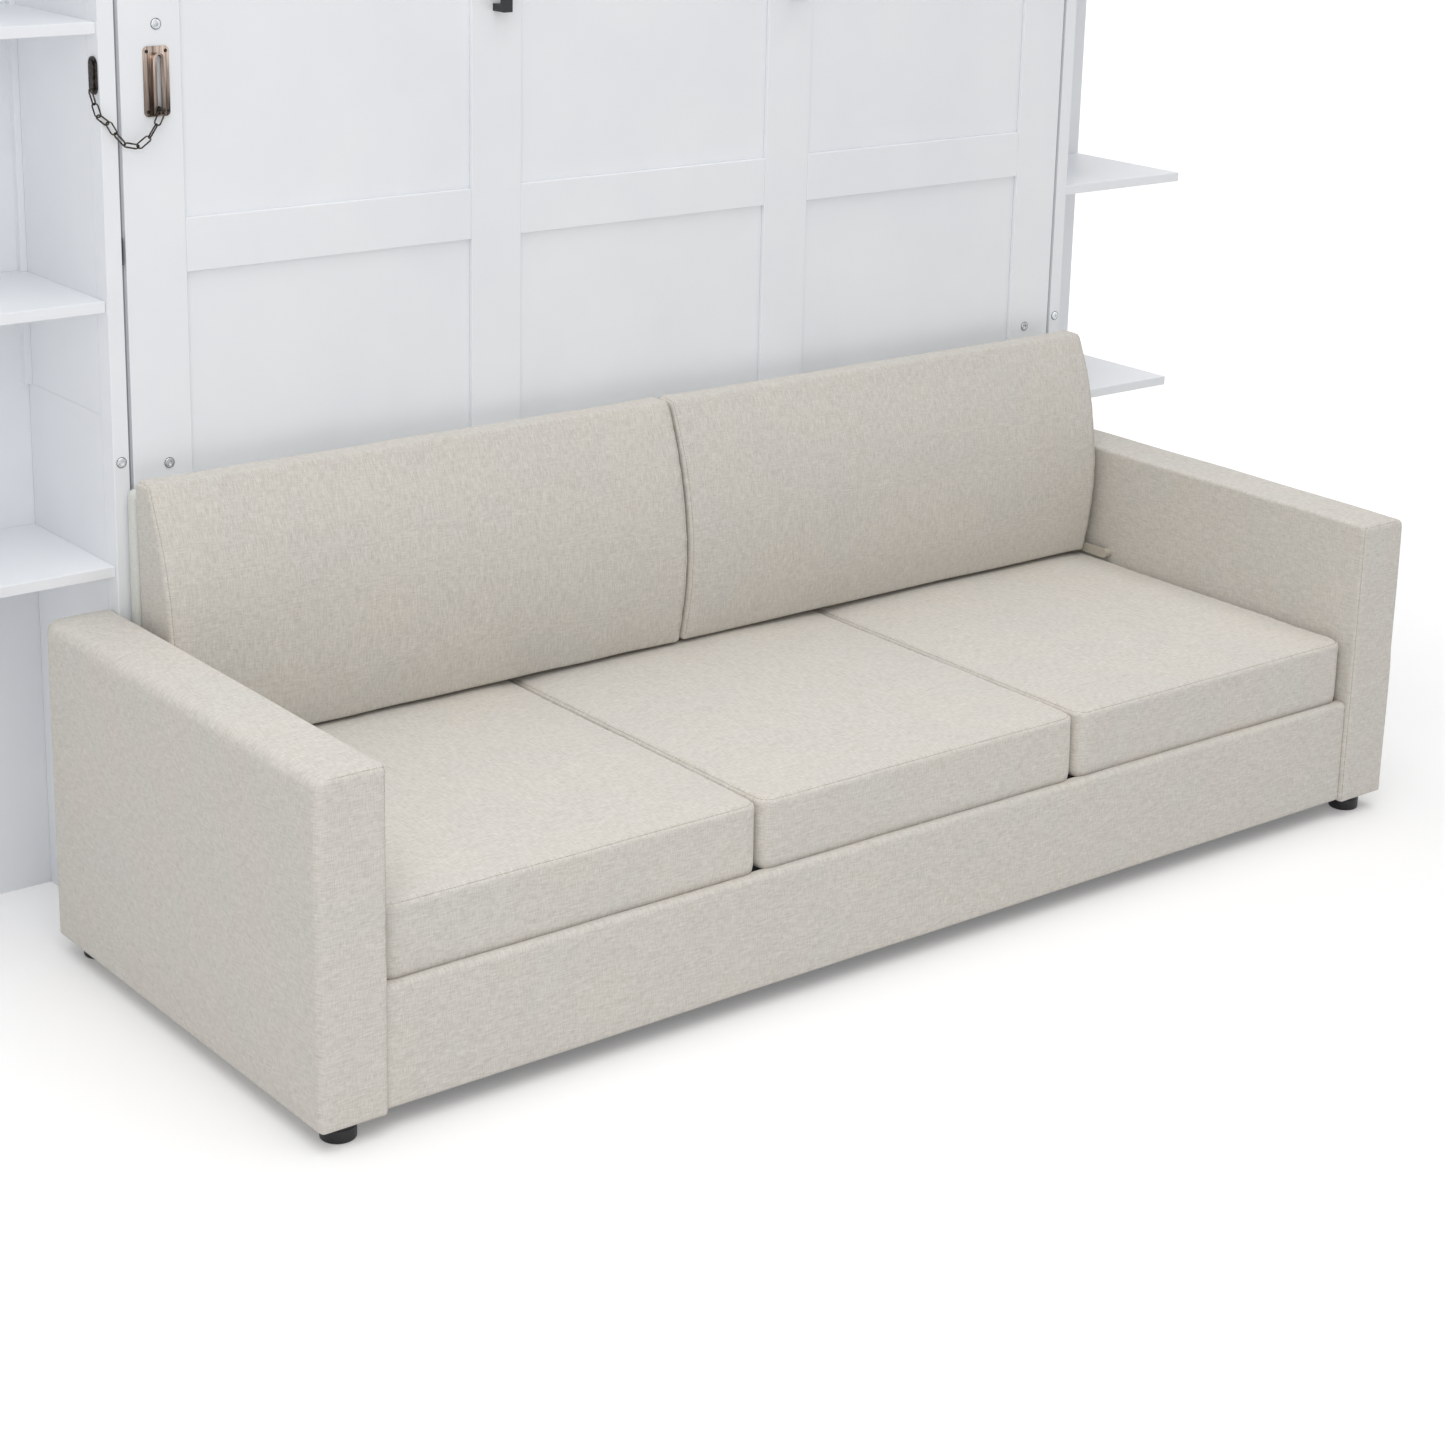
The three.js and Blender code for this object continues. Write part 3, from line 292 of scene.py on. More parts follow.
def copperBronze():
    # Pressed steel, copper plated and brushed lengthways, with fine upright lines: pale brown-red at the
    # head and dark below, where painted shade darkens it towards its foot
    spec = {"deep": "#4C403B", "pale": "#E4D0C3", "foot": "#231D1A", "paintedShade": 0.7, "shadeFullMm": 20,
            "shadeClearMm": 90}  # the painted shade is full up to 20 mm above the foot and gone at 90 mm
    material, tree = startMaterial("copperPlateBrushed")
    lines = stretched(tree, (0.9, 0.9, 45), 2.0)
    bands = stretched(tree, (7, 7, 120), 1.0, 1.3)
    brushed = spread(tree, average(tree, [lines, bands]), 0.36, 0.64)
    copper = mixColours(tree, brushed, spec["deep"], spec["pale"])
    place = addNode(tree, "ShaderNodeTexCoord").outputs["Object"]
    level = addNode(tree, "ShaderNodeSeparateXYZ", Vector=place).outputs["Z"]
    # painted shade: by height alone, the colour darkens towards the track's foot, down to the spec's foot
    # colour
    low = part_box("chain_track")[0][2]
    foot = spread(tree, level, low + spec["shadeFullMm"] * mm, low + spec["shadeClearMm"] * mm, spec["paintedShade"], 0.0)
    colour = mixColours(tree, foot, copper, spec["foot"])
    finishMaterial(tree, Base_Color=colour, Metallic=1.0, Normal=bump(tree, lines, 0.05, 0.4),
                   Roughness=spread(tree, lines, 0.3, 0.7, 0.24, 0.4))
    return material


def slatBeech():
    # Beech, sliced, planed and clear lacquered: warm straw colour with long fine grain along the slat
    material, tree = startMaterial("beechPlaned")
    grain = stretched(tree, (3, 3, 160), 4.0)
    pores = stretched(tree, (0.8, 0.8, 12), 2.0, 4.0)
    tone = mixColours(tree, spread(tree, grain, 0.35, 0.65), "#B8905E", "#DDBE8F")
    colour = mixColours(tree, spread(tree, pores, 0.55, 0.75, 0.0, 0.35), tone, "#8C6840")
    finishMaterial(tree, Base_Color=colour, Roughness=spread(tree, grain, 0.3, 0.7, 0.42, 0.55),
                   Normal=bump(tree, pores, 0.1, 0.4))
    return material


def mattressTicking():
    # Cotton and polyester ticking, knitted double and quilted: white, soft, with fine upright ribs
    material, tree = startMaterial("whiteTickingKnitted")
    ribs = stretched(tree, (1.8, 1.8, 9), 2.0)
    loops = stretched(tree, (3, 3, 3), 3.0, 2.0)
    knit = average(tree, [ribs, loops])
    colour = mixColours(tree, spread(tree, knit, 0.36, 0.64), "#DAD9D3", "#F0EFEA")
    finishMaterial(tree, Base_Color=colour, Roughness=0.9, Normal=bump(tree, knit, 0.6, 0.6),
                   Sheen_Weight=0.15, Sheen_Roughness=0.5, Specular_IOR_Level=0.25)
    return material


def greyTape():
    # Woven polyester binding tape: mid grey with crosswise ribs
    material, tree = startMaterial("greyTapeWoven")
    ribs = stretched(tree, (2, 2, 2), 2.0, 5.0)
    colour = mixColours(tree, spread(tree, ribs, 0.36, 0.64), "#A7A9A8", "#C6C8C6")
    finishMaterial(tree, Base_Color=colour, Roughness=0.85, Normal=bump(tree, ribs, 0.4, 0.6))
    return material


finishes = {
    "white_lacquered_board": whiteLacquer(), "plain_board": primedBoard(), "oat_upholstery": oatLinen(),
    "pale_back_cloth": liningCloth(), "black_foot_plastic": footPlastic(), "black_metal": blackPowderCoat(),
    "zinc_steel": zincPlate(), "dark_bronze": antiqueBronze(), "copper_plate": copperBronze(),
    "slat_beech": slatBeech(), "mattress_ticking": mattressTicking(),
    "black_deck_cloth": deckCloth(), "oat_painted_steel": oatPowderCoat(),
}
thread = seamThreadAndShade()
tape = greyTape()
for part in frame["record"]["subparts"]:
    held = nodes[part["node"]]
    if not held.material_slots:
        held.data.materials.append(None)
    for materialSlot in held.material_slots:
        materialSlot.material = finishes[part["material_slot"]]
print("finishes made and given to the CAD nodes")


# places along one side of a box, closer together at its ends
def edgeLines(low, high, edge, spacing, steps=4):
    edge = min(edge, 0.45 * (high - low))  # a wider edge would fold a thin box back on itself
    near = np.linspace(0, edge, steps + 1)
    count = max(2, round((high - low - 2 * edge) / spacing))
    middle = np.linspace(low + edge, high - edge, count + 1)
    return np.concatenate([low + near[:-1], middle, (high - near[:-1])[::-1]])


def gridBox(low, high, edge, spacing):  # the skin of a box as points and quads
    lines = [edgeLines(low[axis], high[axis], edge, spacing) for axis in range(3)]
    number = np.full([len(line) for line in lines], -1)
    for axis in range(3):
        skin = np.moveaxis(number, axis, 0)
        skin[0] = skin[-1] = 0
    onSkin = number == 0
    number[onSkin] = np.arange(onSkin.sum())
    points = np.stack(np.meshgrid(*lines, indexing="ij"), -1)[onSkin]
    faces = []
    for axis in range(3):
        turned = np.moveaxis(number, axis, 0)
        for end in (0, -1):
            sheet = turned[end]
            quads = np.stack([sheet[:-1, :-1], sheet[1:, :-1], sheet[1:, 1:], sheet[:-1, 1:]], -1)
            quads = quads.reshape(-1, 4)
            faces.append(quads[:, ::-1] if (end == 0) != (axis == 1) else quads)
    return points, np.concatenate(faces)


# rounds the four corners across the thin axis, then both rims; corner may be a function of the places
# from the middle, and rim one of those places and the directions out of the corners
def roundSlab(points, low, high, thin, corner, rim):
    middle, half = (low + high) / 2, (high - low) / 2
    flat = [axis for axis in range(3) if axis != thin]
    local = points - middle
    if callable(corner):
        corner = corner(local)
    limit = half[flat] - np.reshape(corner, (-1, 1))
    core = np.clip(local[:, flat], -limit, limit)
    away = local[:, flat] - core
    span = np.abs(away).max(1)
    outward = away / np.maximum(np.linalg.norm(away, axis=1), 1e-9)[:, None]
    if callable(rim):
        rim = rim(local, outward)
    inward = corner - span
    depth = half[thin] - np.abs(local[:, thin])
    a, b = np.clip(rim - inward, 0, None), np.clip(rim - depth, 0, None)
    shrink = np.maximum(a, b) / np.maximum(np.hypot(a, b), 1e-9)
    inward = np.where(a > 0, rim - a * shrink, inward)
    depth = np.where(b > 0, rim - b * shrink, depth)
    made = local.copy()
    made[:, flat] = core + outward * (corner - inward)[:, None]
    made[:, thin] = np.sign(local[:, thin]) * (half[thin] - depth)
    return made + middle


def ripple(points, sizeMm, heightMm, waves=14):  # slow random swelling, the same each run
    total = np.zeros(len(points))
    for _ in range(waves):
        direction = rng.normal(size=3)
        direction /= np.linalg.norm(direction)
        total += np.sin(points @ direction * 2 * math.pi / (sizeMm * mm * rng.uniform(0.7, 1.5))
                        + rng.uniform(0, 2 * math.pi))
    return total / math.sqrt(waves) * heightMm * mm


def meshPiece(name, points, faces, material, smooth=True):
    mesh = bpy.data.meshes.new(name)
    mesh.from_pydata([tuple(point) for point in points], [], [tuple(face) for face in faces])
    mesh.polygons.foreach_set("use_smooth", [smooth] * len(mesh.polygons))
    mesh.materials.append(material)
    piece = bpy.data.objects.new(name, mesh)
    bpy.context.scene.collection.objects.link(piece)
    return piece


def vertexRows(piece, kind):
    found = np.empty(len(piece.data.vertices) * 3)
    piece.data.vertices.foreach_get(kind, found)
    return found.reshape(-1, 3)


def pointsOf(piece):
    return vertexRows(piece, "co")


def normalsOf(piece):
    return vertexRows(piece, "normal")


def setPoints(piece, points):
    piece.data.vertices.foreach_set("co", np.asarray(points, float).ravel())
    piece.data.update()


def applyModifiers(piece):
    graph = bpy.context.evaluated_depsgraph_get()
    mesh = bpy.data.meshes.new_from_object(piece.evaluated_get(graph))
    piece.modifiers.clear()
    piece.data = mesh


def subdivide(piece):
    piece.modifiers.new("finer", "SUBSURF").levels = 1
    applyModifiers(piece)


def settle(piece, turns, share=0.5):  # evens out the small folds that a simulation leaves
    points = pointsOf(piece)
    pairs = np.empty(len(piece.data.edges) * 2, int)
    piece.data.edges.foreach_get("vertices", pairs)
    pairs = pairs.reshape(-1, 2)
    count = np.bincount(pairs.ravel(), minlength=len(points))[:, None]
    for _ in range(turns):
        total = np.zeros_like(points)
        for axis in range(3):
            total[:, axis] = (np.bincount(pairs[:, 0], points[pairs[:, 1], axis], len(points))
                              + np.bincount(pairs[:, 1], points[pairs[:, 0], axis], len(points)))
        points += share * (total / count - points)
    setPoints(piece, points)


def tube(name, route, radius, material, closed=False, sides=8):  # a round cord along a route of points
    curve = bpy.data.curves.new(name, "CURVE")
    curve.dimensions = "3D"
    curve.bevel_depth, curve.bevel_resolution, curve.use_fill_caps = radius, sides // 4, True
    line = curve.splines.new("POLY")
    line.points.add(len(route) - 1)
    line.points.foreach_set("co", np.column_stack([route, np.ones(len(route))]).ravel())
    line.use_cyclic_u = closed
    holder = bpy.data.objects.new(name + "_line", curve)
    bpy.context.scene.collection.objects.link(holder)
    graph = bpy.context.evaluated_depsgraph_get()
    mesh = bpy.data.meshes.new_from_object(holder.evaluated_get(graph))
    bpy.data.objects.remove(holder)
    bpy.data.curves.remove(curve)
    mesh.name = name
    mesh.polygons.foreach_set("use_smooth", [True] * len(mesh.polygons))
    mesh.materials.clear()
    mesh.materials.append(material)
    piece = bpy.data.objects.new(name, mesh)
    bpy.context.scene.collection.objects.link(piece)
    return piece


def dense(route, step, closed=False):  # the same route with points at an even step
    route = np.asarray(route, float)
    if closed:
        route = np.vstack([route, route[:1]])
    along = np.concatenate([[0], np.cumsum(np.linalg.norm(np.diff(route, axis=0), axis=1))])
    count = max(2, int(along[-1] / step))
    places = np.linspace(0, along[-1], count, endpoint=not closed)
    return np.column_stack([np.interp(places, along, route[:, axis]) for axis in range(3)])


def laidOn(piece, route, sink):  # moves a route to the piece's skin, sunk by a little
    tree = BVHTree.FromPolygons([tuple(v) for v in pointsOf(piece)],
                                [tuple(p.vertices) for p in piece.data.polygons])
    laid = []
    for point in route:
        spot, normal, _, _ = tree.find_nearest(Vector(point))
        laid.append(spot - normal * sink)
    return np.array([tuple(spot) for spot in laid])


def sew(piece, route, depth, width):  # pulls the skin in along a seam, and puffs it a little beside
    tree = KDTree(len(route))
    for index, point in enumerate(route):
        tree.insert(point, index)
    tree.balance()
    points, normals = pointsOf(piece), normalsOf(piece)
    away = np.array([tree.find(point)[2] for point in points])
    puffs = np.exp(-((away - seams["puffAt"] * width) / (seams["puffWidth"] * width)) ** 2)
    pull = depth * np.exp(-(away / width) ** 2) - seams["puff"] * depth * puffs
    pucker = seams["pucker"] * np.exp(-(away / seams["puckerReach"]) ** 2)
    pull += ripple(points, seams["puckerMm"], 1) / mm * pucker
    setPoints(piece, points - normals * pull[:, None])


def addSeams(piece, routes, spec, body):
    for index, (route, closed) in enumerate(routes):
        line = laidOn(piece, dense(route, spec["step"], closed), 0)
        sew(piece, line, spec["depth"], spec["width"])
        line = laidOn(piece, line, spec["sink"])
        # the seam cord is thread, and its darker colour also paints the shade in the seam's fold
        stitched = tube(f"{piece.name}_seam_{index + 1}", line, spec["thread"], thread, closed)
        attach(stitched, body)


seams = {"step": 4 * mm, "depth": 1.6 * mm, "width": 3.2 * mm, "sink": 0.35 * mm, "thread": 0.75 * mm,
         "pucker": 0.35 * mm, "puckerReach": 14 * mm, "puckerMm": 20,
         "puff": 0.25, "puffAt": 3, "puffWidth": 1.5}  # puffs are shares of the depth and the width


def roundedOutline(lowA, highA, lowB, highB, corner, steps=6):  # a closed rectangle with round corners
    route = []
    for centreA, centreB, start in ((highA - corner, highB - corner, 0), (lowA + corner, highB - corner, 1),
                                    (lowA + corner, lowB + corner, 2), (highA - corner, lowB + corner, 3)):
        for step in range(steps + 1):
            angle = (start + step / steps) * math.pi / 2
            route.append((centreA + corner * math.cos(angle), centreB + corner * math.sin(angle)))
    return route


# padded pieces, blown up as cloth over their foam
cloth = {"pressure": 4.0, "frames": 20, "mass": 0.3, "tension": 18, "bending": 2.5, "quality": 5,
         "quickShare": 0.8}


def inflate(jobs):  # jobs are (piece, function from rest points to the most that each may move)
    starts = {}
    for piece, _ in jobs:
        starts[piece.name] = pointsOf(piece)
        settings = piece.modifiers.new("cloth", "CLOTH").settings
        settings.quality = cloth["quality"]
        settings.mass = cloth["mass"]
        settings.use_pressure = True
        settings.uniform_pressure_force = cloth["pressure"]
        settings.tension_stiffness = settings.compression_stiffness = cloth["tension"]
        settings.bending_stiffness = cloth["bending"]
        settings.effector_weights.gravity = 0
    for number in range(1, cloth["frames"] + 1):
        bpy.context.scene.frame_set(number)
    for piece, most in jobs:
        applyModifiers(piece)
        start = starts[piece.name]
        move = pointsOf(piece) - start
        length = np.maximum(np.linalg.norm(move, axis=1), 1e-9)
        allowed = most(start)
        setPoints(piece, start + move * np.minimum(1, allowed / length)[:, None])
    bpy.context.scene.frame_set(1)


seat = {"side": 2.5 * mm, "front": 3 * mm, "crown": 10 * mm, "corner": 24 * mm, "rim": 7 * mm,
        "lowRim": 2.5 * mm, "spacing": 10 * mm, "swell": 2.5 * mm, "seamIn": 1 * mm}
back = {"side": 2.5 * mm, "top": 2 * mm, "belly": 6 * mm, "corner": 9 * mm, "rim": 8 * mm, "topRim": 20 * mm,
        "spacing": 10 * mm, "swell": 2.5 * mm, "rear": 0.3, "drop": 3 * mm, "seamIn": 2 * mm,
        "seamOut": 2 * mm, "seamFrom": 0.02, "seamTo": 0.99, "seamSteps": 40,
        "bottomShare": 96 / 119, "topShare": 44 / 119, "bellyShare": 0.36}
pad = {"bulge": 2.4, "clear": 0.2 * mm, "settling": 2, "rippleMm": 160, "rippleHigh": 0.5, "downward": -0.6}
seatNames = ["seat_cushion_left", "seat_cushion_centre", "seat_cushion_right"]
backNames = ["back_cushion_left", "back_cushion_right"]


def corners(node):
    low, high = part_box(node)
    return np.array(low), np.array(high)


def startSeat(node):
    low, high = corners(node)
    low = low + (seat["side"], seat["front"], 0)
    high = high - (seat["side"], seat["front"], seat["crown"])
    points, faces = gridBox(low, high, seat["corner"], seat["spacing"])

    def rim(local, _):
        return np.where(local[:, 2] > 0, seat["rim"], seat["lowRim"])

    points = roundSlab(points, low, high, 2, seat["corner"], rim)
    piece = meshPiece(node.replace("cushion", "pad"), points, faces, finishes["oat_upholstery"])
    middle, half = (low + high) / 2, (high - low) / 2

    def most(at):
        share = np.clip(np.abs((at - middle) / half), 0, 1)
        top = np.clip((at[:, 2] - middle[2]) / half[2], 0, 1)
        full = (1 - share[:, 0] ** pad["bulge"]) * (1 - share[:, 1] ** pad["bulge"])
        return seat["swell"] + (seat["crown"] - seat["swell"]) * full * top

    return piece, most


def backShare(share):  # the cushion's thickness at this share of its height, 1 at its belly
    above = share > back["bellyShare"]
    end = np.where(above, back["topShare"], back["bottomShare"])
    span = np.where(above, 1 - back["bellyShare"], back["bellyShare"])
    return 1 - (1 - end) * ((share - back["bellyShare"]) / span) ** 2


def startBack(node):
    low, high = corners(node)
    inner = low + (back["side"], 0, 0)
    outer = high - (back["side"], 0, back["top"])
    points, faces = gridBox(inner, outer, back["topRim"], back["spacing"])
    points = roundSlab(points, inner, outer, 1, back["corner"], back["rim"])
    height = (points[:, 2] - low[2]) / (high[2] - low[2])
    thickness = (high[1] - low[1] - back["belly"]) * backShare(height)
    points[:, 1] = high[1] - (high[1] - points[:, 1]) / (high[1] - low[1]) * thickness
    piece = meshPiece(node.replace("cushion", "pad"), points, faces, finishes["oat_upholstery"])
    middle, half = (inner + outer) / 2, (outer - inner) / 2

    def most(at):
        share = np.clip(np.abs((at - middle) / half), 0, 1)
        full = (1 - share[:, 0] ** pad["bulge"]) * (1 - share[:, 2] ** pad["bulge"])
        front = at[:, 1] < high[1] - back["rear"] * (high[1] - low[1])
        return back["swell"] + (back["belly"] - back["swell"]) * full * front

    return piece, most


def finishPad(piece, node, drop=0):  # fills the node's place, down to drop below it
    low, high = corners(node)
    low, high = low + pad["clear"], high - pad["clear"]
    low[2] -= drop
    settle(piece, pad["settling"])
    subdivide(piece)
    points = pointsOf(piece)
    points += normalsOf(piece) * ripple(points, pad["rippleMm"], pad["rippleHigh"])[:, None]
    least, most = points.min(0), points.max(0)
    points = low + (points - least) / (most - least) * (high - low)
    under = (normalsOf(piece)[:, 2] < pad["downward"]) & (drop == 0)
    points[under, 2] = low[2]  # a cushion that lies on its deck is flat underneath
    setPoints(piece, points)


jobs = [startSeat(node) for node in seatNames] + [startBack(node) for node in backNames]
inflate(jobs)
print("cushions blown up")

for node, (piece, _) in zip(seatNames, jobs):
    finishPad(piece, node)
    low, high = corners(node)
    inset = seat["side"] + seat["seamIn"]
    outline = roundedOutline(low[0] + inset, high[0] - inset, low[1] + inset, high[1] - inset, seat["corner"])
    level = high[2] - seat["crown"] - seat["seamIn"]
    addSeams(piece, [([(x, y, level) for x, y in outline], True)], seams, "frame")
    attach(piece, "frame")
    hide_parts(node)

for node, (piece, _) in zip(backNames, jobs[3:]):
    finishPad(piece, node, back["drop"])
    low, high = corners(node)
    routes = []
    for x in (low[0] + back["side"] + back["seamIn"], high[0] - back["side"] - back["seamIn"]):
        shares = np.linspace(back["seamFrom"], back["seamTo"], back["seamSteps"])
        front = [(x, high[1] - (high[1] - low[1]) * backShare(share) + back["seamOut"],
                  low[2] + share * (high[2] - low[2])) for share in shares]
        routes.append((front + [(x, high[1] - back["rim"], high[2])], False))
    addSeams(piece, routes, seams, "back_rest")
    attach(piece, "back_rest")
    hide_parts(node)
print("cushions sewn")


# arms and rails are boards under thin foam, with the cloth drawn tight
arm = {"soft": 20 * mm, "tight": 5 * mm, "softRim": 12 * mm, "rim": 4 * mm, "spacing": 14 * mm,
       "puff": 1.6 * mm, "rippleMm": 220, "rippleHigh": 0.45, "calmFoot": 20 * mm, "calmRear": 200 * mm,
       "seamIn": 1.5 * mm, "seamSet": 1 * mm, "seamFoot": 6 * mm}
rail = {"corner": 9 * mm, "rim": 2 * mm, "spacing": 14 * mm, "puff": 0.8 * mm, "rippleMm": 260,
        "rippleHigh": 0.25}
cover = {"bulge": 6, "facing": 4}  # higher values keep a cover flat nearer to its edges


def puffed(points, low, high, puff, freeSides):  # swells the faces in freeSides, given as (axis, sign)
    middle, half = (low + high) / 2, (high - low) / 2
    share = (points - middle) / half
    for axis, sign in freeSides:
        others = [other for other in range(3) if other != axis]
        full = (1 - share[:, others[0]] ** cover["bulge"]) * (1 - share[:, others[1]] ** cover["bulge"])
        facing = np.clip(share[:, axis] * sign, 0, 1) ** cover["facing"]
        points[:, axis] += sign * puff * np.clip(full, 0, 1) * facing
    return points


def makeArm(node, sign):
    low, high = corners(node)
    slack = np.array((arm["puff"], arm["puff"], arm["puff"]))
    inner, outer = low + slack * (1 if sign < 0 else 0, 1, 0), high - slack * (0 if sign < 0 else 1, 0, 1)
    points, faces = gridBox(inner, outer, arm["soft"], arm["spacing"])

    def corner(local):
        return np.where((local[:, 0] * sign > 0) & (local[:, 2] > 0), arm["soft"], arm["tight"])

    def rim(_, outward):
        return arm["rim"] + (arm["softRim"] - arm["rim"]) * np.clip(outward[:, 0] * sign, 0, 1) ** 2

    points = roundSlab(points, inner, outer, 1, corner, rim)
    points = puffed(points, inner, outer, arm["puff"], [(0, sign), (1, -1), (2, 1)])
    piece = meshPiece(node + "_cover", points, faces, finishes["oat_upholstery"])
    subdivide(piece)
    points = pointsOf(piece)
    loose = (points[:, 2] > low[2] + arm["calmFoot"]) & (points[:, 1] < arm["calmRear"])
    points += normalsOf(piece) * (ripple(points, arm["rippleMm"], arm["rippleHigh"]) * loose)[:, None]
    setPoints(piece, np.clip(points, low, high))
    inX = inner[0] + arm["seamIn"] if sign > 0 else outer[0] - arm["seamIn"]
    outX = outer[0] - arm["soft"] if sign > 0 else inner[0] + arm["soft"]
    front = inner[1] + arm["seamSet"]
    top = outer[2] - arm["seamIn"]
    routes = [([(outX, front, top), (inX, front, top)], False),
              ([(inX, front, top - arm["seamSet"]), (inX, front, inner[2] + arm["seamFoot"])], False)]
    addSeams(piece, routes, seams, "frame")
    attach(piece, "frame")
    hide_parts(node)


def makeRail(node):
    low, high = corners(node)
    slack = np.array((0, rail["puff"], rail["puff"]))
    points, faces = gridBox(low + slack, high - slack, rail["corner"], rail["spacing"])
    points = roundSlab(points, low + slack, high - slack, 0, rail["corner"], rail["rim"])
    points = puffed(points, low + slack, high - slack, rail["puff"], [(1, -1), (2, 1)])
    piece = meshPiece(node + "_cover", points, faces, finishes["oat_upholstery"])
    subdivide(piece)
    points = pointsOf(piece)
    points += normalsOf(piece) * ripple(points, rail["rippleMm"], rail["rippleHigh"])[:, None]
    setPoints(piece, np.clip(points, low, high))
    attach(piece, "frame")
    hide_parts(node)


makeArm("arm_left", -1)
makeArm("arm_right", 1)
makeRail("front_rail")
makeRail("rear_rail")
print("arms and rails covered")


# the mattress is quilted in diamonds on both faces, with tape-bound rims
mattress = {"corner": 45 * mm, "rim": 26 * mm, "spacing": 11 * mm, "pitch": 150 * mm, "depth": 7 * mm,
            "lineWidth": 14 * mm, "plain": 70 * mm, "plainShare": 0.8, "tape": 5 * mm, "tapeIn": 9 * mm,
            "tapeSunk": 2 * mm, "tapeStep": 12 * mm}


def makeMattress(node):
    low, high = corners(node)
    points, faces = gridBox(low, high, mattress["corner"], mattress["spacing"])
    points = roundSlab(points, low, high, 1, mattress["corner"], mattress["rim"])
    middle, half = (low + high) / 2, (high - low) / 2
    local = points - middle
    edge = np.minimum(half[0] - np.abs(local[:, 0]), half[2] - np.abs(local[:, 2]))
    quilted = np.clip((edge - mattress["plain"] / 2) / (mattress["plain"] / 2), 0, 1)
    lines = np.full(len(points), 1e3)
    for along in (local[:, 0] + local[:, 2], local[:, 0] - local[:, 2]):
        share = along / math.sqrt(2) / mattress["pitch"]
        lines = np.minimum(lines, np.abs(share - np.round(share)) * mattress["pitch"])
    sunk = mattress["depth"] * np.exp(-(lines / mattress["lineWidth"]) ** 2) * quilted
    fromLine = (edge - mattress["plain"] / 2) / mattress["lineWidth"]
    plainLine = mattress["depth"] * mattress["plainShare"] * np.exp(-fromLine ** 2)
    facing = np.abs(local[:, 1]) > half[1] - mattress["rim"]
    points[:, 1] -= np.sign(local[:, 1]) * (sunk + plainLine) * facing
    piece = meshPiece("mattress_quilted", points, faces, finishes["mattress_ticking"])
    for index, side in enumerate((-1, 1)):
        depth = middle[1] + side * (half[1] - mattress["tapeIn"])
        inset = mattress["tapeSunk"]
        outline = roundedOutline(low[0] + inset, high[0] - inset, low[2] + inset, high[2] - inset,
                                 mattress["corner"])
        route = dense([(x, depth, z) for x, z in outline], mattress["tapeStep"], True)
        binding = tube(f"mattress_tape_{index + 1}", route, mattress["tape"], tape, True, 12)
        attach(binding, "bed")
    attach(piece, "bed")
    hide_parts(node)


makeMattress("mattress")
print("mattress quilted")


def splitEdges(piece, degrees):  # keeps edges sharper than this crisp
    piece.modifiers.new("edges", "EDGE_SPLIT").split_angle = math.radians(degrees)
    applyModifiers(piece)


def ringQuads(rings, sides):  # the faces between rings of points, one ring after another
    faces = []
    for ring in range(rings - 1):
        for side in range(sides):
            beside = (side + 1) % sides
            faces.append((ring * sides + side, ring * sides + beside,
                          (ring + 1) * sides + beside, (ring + 1) * sides + side))
    return faces


def turned(name, profile, material, centre, sides=48):  # profile is (radius, height) from foot to head
    points = []
    for radius, along in profile:
        for side in range(sides):
            angle = 2 * math.pi * side / sides
            points.append((radius * math.cos(angle), radius * math.sin(angle), along))
    faces = ringQuads(len(profile), sides)
    faces.append(tuple(range(sides))[::-1])
    faces.append(tuple((len(profile) - 1) * sides + side for side in range(sides)))
    piece = meshPiece(name, points, faces, material)
    piece.data.transform(Matrix.Translation(centre))
    splitEdges(piece, 40)
    return piece


foot = {"lip": 3 * mm, "band": 1.2 * mm, "groove": 0.62, "grooveEnd": 0.7, "chamfer": 1 * mm}


def makeFoot(node):
    low, high = corners(node)
    radius, tall = (high[0] - low[0]) / 2, high[2] - low[2]
    lip, band, chamfer = foot["lip"], foot["band"], foot["chamfer"]
    groove, grooveEnd = tall * foot["groove"], tall * foot["grooveEnd"]
    profile = [(radius - 2 * lip, 0)]
    profile += [(radius - lip + lip * math.sin(angle), lip - lip * math.cos(angle))
                for angle in np.linspace(0, math.pi / 2, 6)]
    profile += [(radius, groove), (radius - band, groove + band), (radius - band, grooveEnd),
                (radius, grooveEnd + band), (radius, tall - chamfer), (radius - chamfer, tall)]
    centre = ((low[0] + high[0]) / 2, (low[1] + high[1]) / 2, low[2])
    piece = turned(node + "_glide", profile, finishes["black_foot_plastic"], centre)
    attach(piece, "frame")
    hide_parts(node)


for node in ("foot_front_left", "foot_front_right", "foot_rear_left", "foot_rear_right"):
    makeFoot(node)

bolt = {"radius": 7.8 * mm, "head": 1.6 * mm, "edge": 0.7 * mm, "socket": 3.6 * mm, "socketDepth": 1.5 * mm,
        "taper": 0.96, "sides": 36, "shadowRing": 0.6 * mm, "shadowRingOut": 0.35 * mm}


